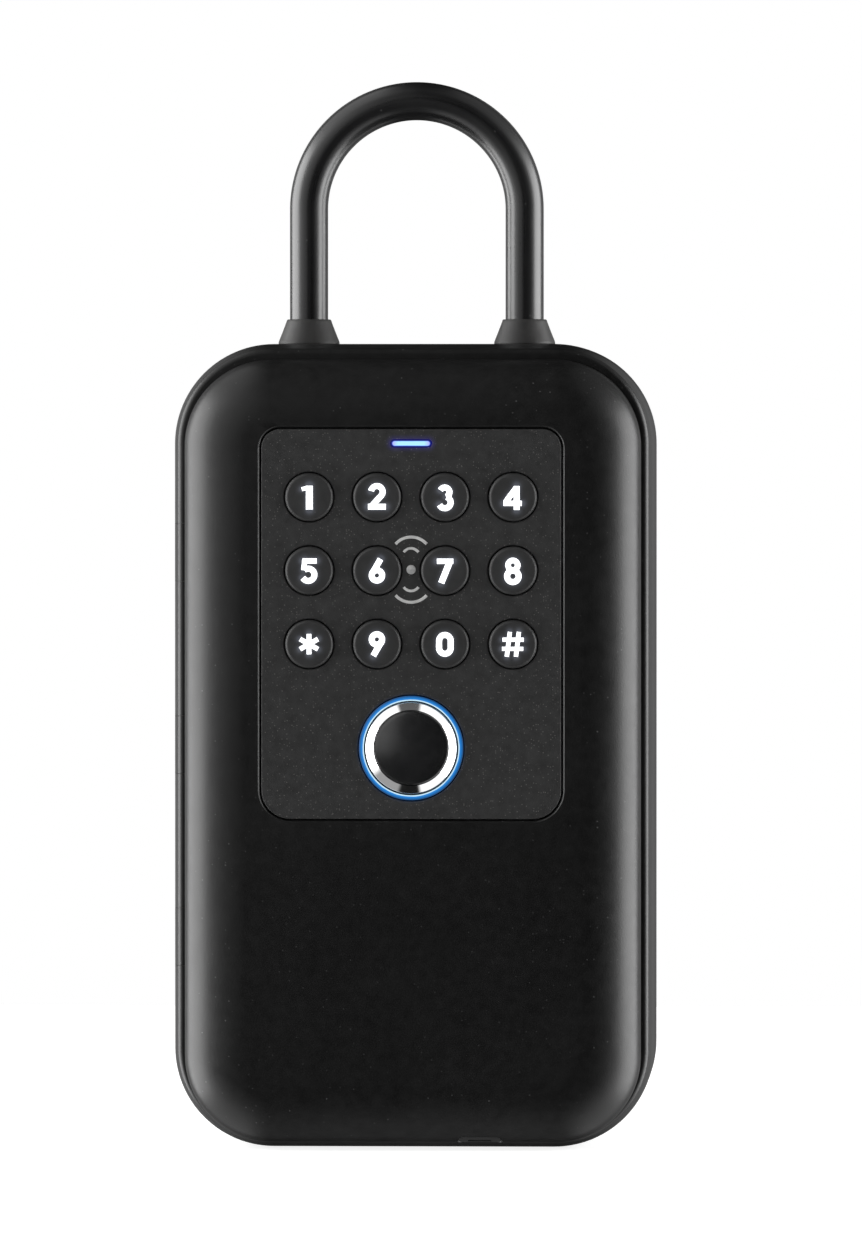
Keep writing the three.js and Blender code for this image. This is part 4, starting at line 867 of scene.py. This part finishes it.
# Hole plugs. A soft rubber button closes each of the four wall screw holes from inside.
PLUG = [(0, 44.2), (3.3, 44.22), (3.8, 44.4), (4.0, 44.75), (4.0, 45.1), (3.9, 45.2), (2.1, 45.3),
        (2.1, 47.4), (1.8, 47.7), (0, 47.7)]
for number, (across, up) in enumerate(WALL_HOLES, 1):
    plug = piece(f"wall_plug_{number}", turned(f"wall_plug_{number}", PLUG, across, up, 48), rubber)
    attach(plug, "case")
    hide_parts(f"hole_plug_{number}")

# Liner. A sheet of grey felt covers the back wall inside the case, cut out round the four plugs.
LINER = dict(left=-45.6, right=45.6, bottom=4.4, top=146, low=16.4, high=4)
felt, tree, shader = new_material("grey_felt", Roughness=0.97, Specular_IOR_Level=0.1)
hairs = cloudy(tree, object_place(tree), 1900.0, 6.0, 0.75)
wads = cloudy(tree, object_place(tree), 160.0, 3.0, 0.6)
tone = blended(tree, spanned(tree, hairs, 0.3, 0.7), (0.028, 0.030, 0.033), (0.072, 0.076, 0.082))
painted(tree, shader, spanned(tree, wads, 0.35, 0.65, 0.0, 0.45), tone, (0.045, 0.047, 0.051))
bumped(tree, shader, hairs, 0.00025)
plug_cuts = [round_hole(across, up, 4.3, 48) for across, up in WALL_HOLES]
liner = piece("felt_liner", plate("felt_liner", outline(LINER), plug_cuts, 44.3, 45.2, 0.3), felt)
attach(liner, "case")
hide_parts("liner_pad")


# Shackle lock. A stamped steel slide grips the necks of the shackle from under the case's top, and
# a moulded cover with guide rails holds it up there.
def softened(name, node, edge, corner=30):
    """A finer skin of one of the frame's solids: its faces are joined up and its corners rounded."""
    source = bpy.data.objects[node]
    shell = bmesh.new()
    shell.from_mesh(source.data)
    shell.transform(source.matrix_world)
    bmesh.ops.remove_doubles(shell, verts=shell.verts, dist=2e-6)
    bmesh.ops.dissolve_limit(shell, angle_limit=math.radians(0.6), verts=shell.verts, edges=shell.edges)
    sharp = [side for side in shell.edges
             if len(side.link_faces) == 2 and side.calc_face_angle() > math.radians(corner)]
    bmesh.ops.bevel(shell, geom=sharp, offset=edge / 1000, segments=2, profile=0.5, affect="EDGES",
                    clamp_overlap=True)
    return built(name, shell)


zinc, tree, shader = new_material("zinc_plate", Metallic=1.0)
spangle = placed(tree, grain, Grains=900.0, Fleck_Share=0.0)
dulled = placed(tree, handling, Spread=70.0)
painted(tree, shader, spangle.outputs["Mottle"], (0.36, 0.38, 0.41), (0.50, 0.52, 0.54))
uneven = plus(tree, spanned(tree, spangle.outputs["Mottle"], 0, 1, 0.28, 0.40),
              times(tree, dulled.outputs["Smudge"], 0.1))
wire(tree, uneven, shader.inputs["Roughness"])
bumped(tree, shader, spangle.outputs["Height"], 0.000006)
moulded = coated("moulded_plastic", (0.0145, 0.0145, 0.016), (0.0205, 0.0205, 0.022), grey(0.05), 0.48,
                 1400.0, 0.012, 0.00003)
for name, node, body, edge, finish, slot in (
        ("lock_slide_plate", "shackle_lock_slide", "shackle_lock_slide", 0.25, zinc, "steel"),
        ("lock_guide_cover", "lock_cover", "case", 0.25, moulded, "inner_plastic")):
    part = piece(name, softened(name, node, edge), finish)
    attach(part, body)
    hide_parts(node)

# Key mat. A sheet of silicone with a soft dome under each key, whose carbon pill meets the board.
half_rim = [(25.9, 98.3), (27.3, 98.9), (27.9, 100.3), (27.9, 140.3), (27.3, 141.7), (25.9, 142.3)]
mat_rim = half_rim + [(-across, up) for across, up in reversed(half_rim)]
DOME = [(0, 4.3), (1.5, 4.3), (1.9, 4.36), (2.9, 4.62), (3.4, 4.72), (3.6, 4.8), (3.6, 5.1), (0, 5.1)]
mat_parts = [plate("mat", mat_rim, [], 4.7, 5.6, 0.12)]
mat_parts += [turned("dome", DOME, across, up, 40) for across, up in KEY_PLACES.values()]
silicone, tree, shader = new_material("milky_silicone", Roughness=0.52, Subsurface_Weight=0.15,
                                      Subsurface_Scale=0.002)
cloud = placed(tree, grain, Grains=700.0, Fleck_Share=0.0)
painted(tree, shader, cloud.outputs["Mottle"], (0.44, 0.46, 0.47), (0.54, 0.56, 0.57))
bumped(tree, shader, cloud.outputs["Height"], 0.00001)
key_mat = piece("silicone_mat", gathered("silicone_mat", mat_parts), silicone)
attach(key_mat, "door")
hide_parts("key_mat")

# Circuit boards. The main board lies behind the key mat, and a small board carries the sensor. Both
# have green solder mask over copper tracks, with bare gold pads.
solder_mask, tree, shader = new_material("green_solder_mask", Coat_Weight=0.3, Coat_Roughness=0.2)
turned_flat = made(tree, "ShaderNodeMapping",
                   [("Vector", object_place(tree)), ("Rotation", (math.pi / 2, 0, 0))])
on_board = turned_flat.outputs["Vector"]
tracks = made(tree, "ShaderNodeTexBrick", [("Vector", on_board), ("Scale", 260.0), ("Mortar Size", 0.035),
                                           ("Brick Width", 1.7), ("Row Height", 0.32)])
pads = made(tree, "ShaderNodeTexVoronoi", [("Vector", on_board), ("Scale", 230.0)])
gold = spanned(tree, pads.outputs["Distance"], 0.17, 0.13)
green = blended(tree, tracks.outputs["Fac"], (0.008, 0.050, 0.026), (0.014, 0.085, 0.045))
painted(tree, shader, gold, green, (0.52, 0.36, 0.12))
wire(tree, times(tree, gold, 0.9), shader.inputs["Metallic"])
roughened(tree, shader, gold, 0.38, 0.3)
bumped(tree, shader, tracks.outputs["Fac"], 0.00003)
for name, node in (("circuit_plate", "main_board"), ("sensor_unit", "sensor_module")):
    board = piece(name, softened(name, node, 0.06), solder_mask)
    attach(board, "door")
    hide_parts(node)

# Door tray. A moulded back closes the door; it bulges out over the batteries and the motor, with
# their bay open to the inside. The battery cover slides over that bay and has four finger grooves.
for name, node, body, edge in (("moulded_tray", "door_tray", "door", 0.25),
                               ("sliding_cover", "battery_cover", "battery_cover", 0.2)):
    part = piece(name, softened(name, node, edge), moulded)
    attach(part, body)
    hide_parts(node)

# Batteries. Four small round cells stand side by side, turned end for end in turn. Each has a
# printed jacket, a crimped metal end and a raised tip.
CELL = [(0, 0), (3.4, 0), (3.7, 0.15), (4.6, 0.15), (4.75, 0.3), (4.95, 0.3), (5.2, 0.5), (5.25, 0.8),
        (5.25, 42.7), (5.2, 43.1), (5.0, 43.4), (4.7, 43.45), (4.4, 43.3), (2.7, 43.3), (2.5, 43.45),
        (2.45, 44.2), (2.3, 44.45), (1.9, 44.5), (0, 44.5)]
CELLS = ((-33.05, True), (-22.05, False), (-11.05, True), (-0.05, False))
CELL_FOOT, CELL_LONG, CELL_DEPTH = 19.2, 44.5, 10.9
cell_jackets = {}
for upright in (True, False):
    jacket, tree, shader = new_material("cell_jacket_" + ("up" if upright else "down"))
    _, _, up = surface_place(tree)
    start, way = (CELL_FOOT, 1) if upright else (CELL_FOOT + CELL_LONG, -1)
    along = times(tree, counted(tree, "SUBTRACT", up, start / 1000), 1000.0 * way)
    sleeve = times(tree, spanned(tree, along, 0.35, 0.45), spanned(tree, along, 43.3, 43.2))
    collar = spanned(tree, along, 32.9, 33.0)
    rule = times(tree, spanned(tree, along, 31.9, 32.0), spanned(tree, along, 32.5, 32.4))
    scuffs = placed(tree, handling, Spread=240.0)
    blue = blended(tree, scuffs.outputs["Smudge"], (0.040, 0.100, 0.185), (0.055, 0.130, 0.225))
    print_colour = blended(tree, rule, blended(tree, collar, blue, (0.42, 0.43, 0.45)), (0.75, 0.76, 0.78))
    tin = blended(tree, scuffs.outputs["Smudge"], (0.55, 0.55, 0.56), (0.66, 0.66, 0.67))
    painted(tree, shader, sleeve, tin, print_colour)
    wire(tree, counted(tree, "SUBTRACT", 1.0, sleeve), shader.inputs["Metallic"])
    roughened(tree, shader, scuffs.outputs["Smudge"], 0.26, 0.36)
    cell_jackets[upright] = jacket
for number, (across, upright) in enumerate(CELLS, 1):
    profile = [(radius, CELL_FOOT + (along if upright else CELL_LONG - along)) for radius, along in CELL]
    cell_skin = turned(f"round_cell_{number}", profile, across, 0, 72, CELL_DEPTH)
    cell = piece(f"round_cell_{number}", cell_skin, cell_jackets[upright])
    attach(cell, "door")
    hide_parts(f"battery_{number}")

# Battery contacts and the latch's gear. Stamped brass strips join the cells at both ends, and a
# small brass pinion on the motor's shaft drives the bolt.
brass, tree, shader = new_material("worn_brass", Metallic=1.0)
tarnish = placed(tree, handling, Spread=150.0)
stamping = placed(tree, grain, Grains=1500.0, Fleck_Share=0.0)
painted(tree, shader, tarnish.outputs["Smudge"], (0.62, 0.44, 0.19), (0.44, 0.29, 0.11))
roughened(tree, shader, tarnish.outputs["Smudge"], 0.24, 0.42)
bumped(tree, shader, stamping.outputs["Height"], 0.000004)
for name, node, body in (("contact_strip_low", "battery_contact_lower", "door"),
                         ("contact_strip_high", "battery_contact_upper", "door"),
                         ("brass_gear", "latch_pinion", "latch_pinion")):
    part = piece(name, softened(name, node, 0.08, 25), brass)
    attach(part, body)
    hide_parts(node)

# Latch drive. A small motor with a gearbox stands beside the batteries, held down by a strap, and
# drives a steel bolt with a toothed edge out through the side of the tray.
MOTOR_ACROSS, MOTOR_DEPTH = 26, 8.7
WHEELS = ((44.8, 3.9, 26.6), (46.6, 3.4, 25.4), (48.5, 4.0, 26.4), (50.2, 3.0, 25.7))
SPACER = [(0, 44.2), (1.1, 44.2), (1.1, 51.6), (0, 51.6)]
SHAFT = [(0, 50.5), (1.0, 50.5), (1.0, 64.0), (0.75, 64.3), (0, 64.3)]
END_BOSS = [(0, 27.5), (1.9, 27.5), (2.0, 27.6), (2.0, 28.2), (0, 28.2)]


def flattened(value, limit):
    return max(-limit, min(limit, value))


# The can is round with four flats, the widest in front and behind
can_rim = [(MOTOR_ACROSS + flattened(7.08 * math.cos(turn), 5.95),
            MOTOR_DEPTH + flattened(6.25 * math.sin(turn), 4.95)) for turn in arc_steps(0, 345, 23)]
gearbox = [boxed("plate", 20, 32, 3.75, 13.65, low, low + 0.9, 0.1) for low in (43.3, 51.6)]
gearbox += [turned("spacer", SPACER, across, 0, 20, depth)
            for across in (21.6, 30.4) for depth in (5.3, 12.1)]
for low, radius, across in WHEELS:
    wheel = [(0, low), (radius, low), (radius, low + 1.1), (0, low + 1.1)]
    gearbox.append(turned("wheel", wheel, across, 0, 40, MOTOR_DEPTH))
gearbox += [turned("shaft", SHAFT, MOTOR_ACROSS, 0, 32, MOTOR_DEPTH),
            plate("can", can_rim, [], 28.1, 43.3, 0.3, lying=True),
            turned("boss", END_BOSS, MOTOR_ACROSS, 0, 32, MOTOR_DEPTH)]
motor = piece("geared_motor", gathered("geared_motor", gearbox), zinc)
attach(motor, "door")
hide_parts("gear_motor")
for name, node, body, finish in (("motor_strap", "motor_clamp", "door", zinc),
                                 ("toothed_bolt", "latch_bolt", "latch_bolt", bright_steel),
                                 ("socket_shell", "usb_socket", "door", zinc)):
    part = piece(name, softened(name, node, 0.12), finish)
    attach(part, body)
    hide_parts(node)

# Buzzer. A round sounder with a hole in its face sits in the lower right of the tray.
BUZZER = [(0.9, 13.4), (0.9, 12.75), (1.1, 12.6), (4.1, 12.6), (4.5, 12.95), (4.5, 16.4), (4.3, 16.6),
          (0.9, 16.6)]
buzzer = piece("sounder", turned("sounder", BUZZER, 33, 21, 56), moulded)
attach(buzzer, "door")
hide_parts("buzzer")

# Power inlet plug. A soft rubber plug with a nail groove closes the inlet in the door's lower edge.
plug_body = pill("inlet_plug", USB_INLET, 1.6, 5.95, upright=True, edge=0.35)

# The plug's end follows the door's shoulder, so what would stand below the shoulder is cut off
shoulder = [(8.5 - 8.5 * math.cos(turn), 14.55 - 13 * math.sin(turn)) for turn in arc_steps(45, 90, 18)]
cut_rim = shoulder + [(9, 1.55), (9, 0), (2, 0), (2, 5.36)]
trimming = skinned("trimming", [[spot(side, depth, up) for depth, up in cut_rim] for side in (8, 20)])
nail_groove = boxed("groove", 11.5, 16.5, 6.0, 7.0, 1.0, 2.8, 0.2)
plug_rubber = coated("inlet_rubber", grey(0.006), grey(0.009), grey(0.03), 0.55, 1500.0, 0.01, 0.00001)
inlet_plug = piece("inlet_plug", carved("inlet_plug", plug_body, [trimming, nail_groove]), plug_rubber)
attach(inlet_plug, "usb_plug")
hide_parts("usb_plug")

# Screws. All are small pan-head screws with a cross recess. One node tree makes them: it rounds the
# head, cuts the cross, winds the thread round the shank and sets a copy at each point.
screw_tree, entry, leave = geometry_tree(
    "cross_screws", (("Places", "Geometry"), ("Head Radius", "Float"), ("Head Height", "Float"),
                     ("Shank Radius", "Float"), ("Shank Length", "Float"), ("Pitch", "Float"),
                     ("Turn", "Vector"), ("Finish", "Material")), "Screws")


def sized(value, share):
    return times(screw_tree, value, share)


def shaped(kind, *inputs, **settings):
    """The shape that a node of the screw tree gives."""
    return made(screw_tree, "GeometryNode" + kind, inputs, **settings).outputs[0]


def vector(across, deep, up):
    return made(screw_tree, "ShaderNodeCombineXYZ", [("X", across), ("Y", deep), ("Z", up)]).outputs[0]


def shifted(geometry, up):
    return shaped("Transform", ("Geometry", geometry), ("Translation", vector(0.0, 0.0, up)))


radius, height = entry.outputs["Head Radius"], entry.outputs["Head Height"]
half_height = sized(height, 0.5)
skirt = shaped("MeshCylinder", ("Vertices", 40), ("Radius", radius), ("Depth", half_height))
crown = shaped("MeshCone", ("Vertices", 40), ("Side Segments", 1), ("Radius Top", sized(radius, 0.72)),
               ("Radius Bottom", radius), ("Depth", half_height))
parts = [shifted(skirt, sized(height, 0.25)), shifted(crown, half_height)]
head = shaped("MeshBoolean", *[("Mesh 2", part) for part in parts], operation="UNION", solver="EXACT")
long_way, short_way = sized(radius, 1.15), sized(radius, 0.24)
bars = [shaped("MeshCube", ("Size", vector(*ways, height)))
        for ways in ((long_way, short_way), (short_way, long_way))]
recess = [("Mesh 2", shifted(bar, sized(height, 0.95))) for bar in bars]
cross = shaped("MeshBoolean", ("Mesh 1", head), *recess, operation="DIFFERENCE", solver="EXACT")
length, shank_radius = entry.outputs["Shank Length"], entry.outputs["Shank Radius"]
shank = shaped("MeshCone", ("Vertices", 24), ("Side Segments", 1), ("Radius Bottom", 0.0004),
               ("Radius Top", sized(shank_radius, 0.86)), ("Depth", length))
turns = counted(screw_tree, "DIVIDE", sized(length, 0.9), entry.outputs["Pitch"])
coil = shaped("CurveSpiral", ("Resolution", 16), ("Rotations", turns), ("Height", sized(length, 0.9)),
              ("Start Radius", sized(shank_radius, 0.80)), ("End Radius", sized(shank_radius, 0.84)))
ridge = shaped("CurvePrimitiveCircle", ("Resolution", 6), ("Radius", sized(shank_radius, 0.16)))
thread = shaped("CurveToMesh", ("Curve", coil), ("Profile Curve", ridge), ("Fill Caps", True))
parts = [cross, shifted(shank, sized(length, -1.0)), shifted(thread, sized(length, -0.96))]
whole = shaped("JoinGeometry", *[("Geometry", part) for part in parts])
copies = shaped("InstanceOnPoints", ("Points", entry.outputs["Places"]), ("Instance", whole),
                ("Rotation", entry.outputs["Turn"]))
real = shaped("RealizeInstances", ("Geometry", copies))
dressed = shaped("SetMaterial", ("Geometry", real), ("Material", entry.outputs["Finish"]))
wire(screw_tree, dressed, leave.inputs["Screws"])

FORWARD, DOWNWARD, BACKWARD = (math.pi / 2, 0, 0), (math.pi, 0, 0), (-math.pi / 2, 0, 0)

# Each set of like screws: its name, body and solids, where the heads sit (across, depth, up), the
# radius and height of a head, the radius and length of a shank, and which way the heads face
SCREW_SETS = (
    ("tray_screws_high", "door", ("tray_screw_1", "tray_screw_2"),
     [(across, 9.6, up) for across, up in TRAY_SCREWS[:2]], 2.1, 1.3, 0.9, 6.8, BACKWARD),
    ("tray_screws_low", "door", ("tray_screw_3", "tray_screw_4"),
     [(across, 17.4, up) for across, up in TRAY_SCREWS[2:]], 2.1, 1.3, 0.9, 14.6, BACKWARD),
    ("board_screws", "door", ("board_screw_1", "board_screw_2"),
     [(-31.2, 7.35, 74), (31.2, 7.35, 145)], 2.0, 0.7, 0.7, 4.55, BACKWARD),
    ("strap_screws", "door", ("motor_clamp_screw_1", "motor_clamp_screw_2"),
     [(16.8, 11.15, 40), (35.2, 11.15, 40)], 2.0, 0.8, 0.7, 5.4, FORWARD),
    ("guide_screws", "case", ("lock_cover_screw_1", "lock_cover_screw_2"),
     [(across, SHACKLE_DEPTH, 147.5) for across in LOCK_POSTS], 2.0, 1.3, 0.9, 8.4, DOWNWARD),
)
for name, body, nodes, places, head_radius, head_height, shank_radius, shank_length, turn in SCREW_SETS:
    sizes = {"Head Radius": head_radius, "Head Height": head_height, "Shank Radius": shank_radius,
             "Shank Length": shank_length, "Pitch": 0.7}
    points = bpy.data.meshes.new(name)
    points.from_pydata([spot(across, depth, up) for across, depth, up in places], [], [])
    inputs = {label: size / 1000 for label, size in sizes.items()}
    screws = grown(name, points, screw_tree, dict(inputs, Turn=turn, Finish=bright_steel))
    screws.data.set_sharp_from_angle(angle=math.radians(30))
    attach(screws, body)
    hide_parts(*nodes)

# Studio. The box stands on a pale floor between two tall soft lamps, with a broad weak one in front
# on the left that gives the flat face its shading. The backdrop is white.
world = bpy.data.worlds.new("studio")
bpy.context.scene.world = world
world.use_nodes = True
sky = world.node_tree
sky.nodes.clear()
direction = sky.nodes.new("ShaderNodeTexCoord").outputs["Generated"]
parts = made(sky, "ShaderNodeSeparateXYZ", [(0, direction)])
across, deep, up = (parts.outputs[axis] for axis in "XYZ")
sideways, steep = counted(sky, "ABSOLUTE", across), counted(sky, "ABSOLUTE", up)

# Glossy surfaces mirror a studio: pale screens to the left and right, the right one weaker high up,
# a fainter glow behind the box, and a pale table below
left_screen = times(sky, spanned(sky, across, 0.05, -0.05), spanned(sky, deep, -0.85, -0.45, 0.0, 1.1))
right_screen = times(sky, spanned(sky, across, -0.05, 0.05), spanned(sky, deep, -0.75, -0.45, 0.0, 1.1))
right_screen = times(sky, right_screen, spanned(sky, up, 0.5, 0.6, 1.0, 0.3))
screens = times(sky, plus(sky, left_screen, right_screen), spanned(sky, deep, 0.6, 0.4))
slant = counted(sky, "SUBTRACT", sideways, times(sky, steep, 0.25))
screens = times(sky, screens, spanned(sky, slant, -0.03, 0.05))
rear = times(sky, spanned(sky, deep, 0.6, 0.85, 0.0, 0.45), spanned(sky, sideways, 0.1, 0.35))
table = spanned(sky, up, -0.80, -0.93, 0.01, 0.11)
mirrored_light = plus(sky, plus(sky, screens, rear), table)
ray = sky.nodes.new("ShaderNodeLightPath")
seen = counted(sky, "MAXIMUM", ray.outputs["Is Camera Ray"], ray.outputs["Is Transmission Ray"])
plain = times(sky, counted(sky, "SUBTRACT", 1.0, ray.outputs["Is Glossy Ray"]), 0.42)
mirrored = times(sky, ray.outputs["Is Glossy Ray"], mirrored_light)
strength = counted(sky, "MAXIMUM", seen, plus(sky, plain, mirrored))
backdrop = made(sky, "ShaderNodeBackground", [("Color", (1, 1, 1, 1)), ("Strength", strength)])
wire(sky, backdrop.outputs[0], sky.nodes.new("ShaderNodeOutputWorld").inputs["Surface"])

floor_paint, tree, shader = new_material("pale_floor", Roughness=0.7)
faint = placed(tree, handling, Spread=1.2)
painted(tree, shader, faint.outputs["Smudge"], grey(0.48), grey(0.52))
ray = tree.nodes.new("ShaderNodeLightPath")
wire(tree, times(tree, ray.outputs["Is Camera Ray"], 0.82), shader.inputs["Emission Strength"])
shader.inputs["Emission Color"].default_value = (1, 1, 1, 1)

# Seen from below the floor is clear, so that it doesn't hide the box
underside = tree.nodes.new("ShaderNodeNewGeometry").outputs["Backfacing"]
clear = tree.nodes.new("ShaderNodeBsdfTransparent").outputs["BSDF"]
see_through = made(tree, "ShaderNodeMixShader", [("Fac", underside), (1, shader.outputs["BSDF"]), (2, clear)])
wire(tree, see_through.outputs["Shader"], tree.nodes["Material Output"].inputs["Surface"])
bpy.ops.mesh.primitive_plane_add(size=0.84, location=(0, 0.14, -0.0001))
floor = bpy.context.object
floor.name = "floor"
floor.data.materials.append(floor_paint)
floor.visible_glossy = floor.visible_shadow = False


def soft_lamp(name, place, aim, wide, tall, watts):
    light = bpy.data.lights.new(name, "AREA")
    light.shape, light.size, light.size_y, light.energy = "RECTANGLE", wide, tall, watts
    lamp = bpy.data.objects.new(name, light)
    bpy.context.scene.collection.objects.link(lamp)
    lamp.location = place
    lamp.rotation_euler = (Vector(aim) - Vector(place)).to_track_quat("-Z", "Y").to_euler()
    return lamp


left_lamp = soft_lamp("left_softbox", (-0.709, 0.012, 0.11), (0, 0, 0.11), 0.74, 1.0, 10.6)
right_lamp = soft_lamp("right_softbox", (0.726, -0.006, 0.06), (0, 0, 0.06), 0.66, 0.9, 9.0)
front_lamp = soft_lamp("broad_fill", (-0.44, -0.65, 0.35), (0, 0, 0.1), 0.70, 0.70, 0.80)

# The camera looks from a little to the right and above, from far off through a long lens
camera_data = bpy.data.cameras.new("view")
camera_data.lens, camera_data.sensor_width, camera_data.sensor_fit = 307.9, 36, "AUTO"
camera = bpy.data.objects.new("view", camera_data)
bpy.context.scene.collection.objects.link(camera)
aim = Vector((0.00412, -0.0236, 0.10968))
distance, around, above = 2.2, math.radians(2.2), math.radians(0.9)
camera.location = aim + distance * Vector((math.sin(around) * math.cos(above),
                                           -math.cos(around) * math.cos(above), math.sin(above)))
camera.rotation_euler = (aim - camera.location).to_track_quat("-Z", "Y").to_euler()
bpy.context.scene.camera = camera
bpy.context.scene.view_settings.view_transform = "Standard"
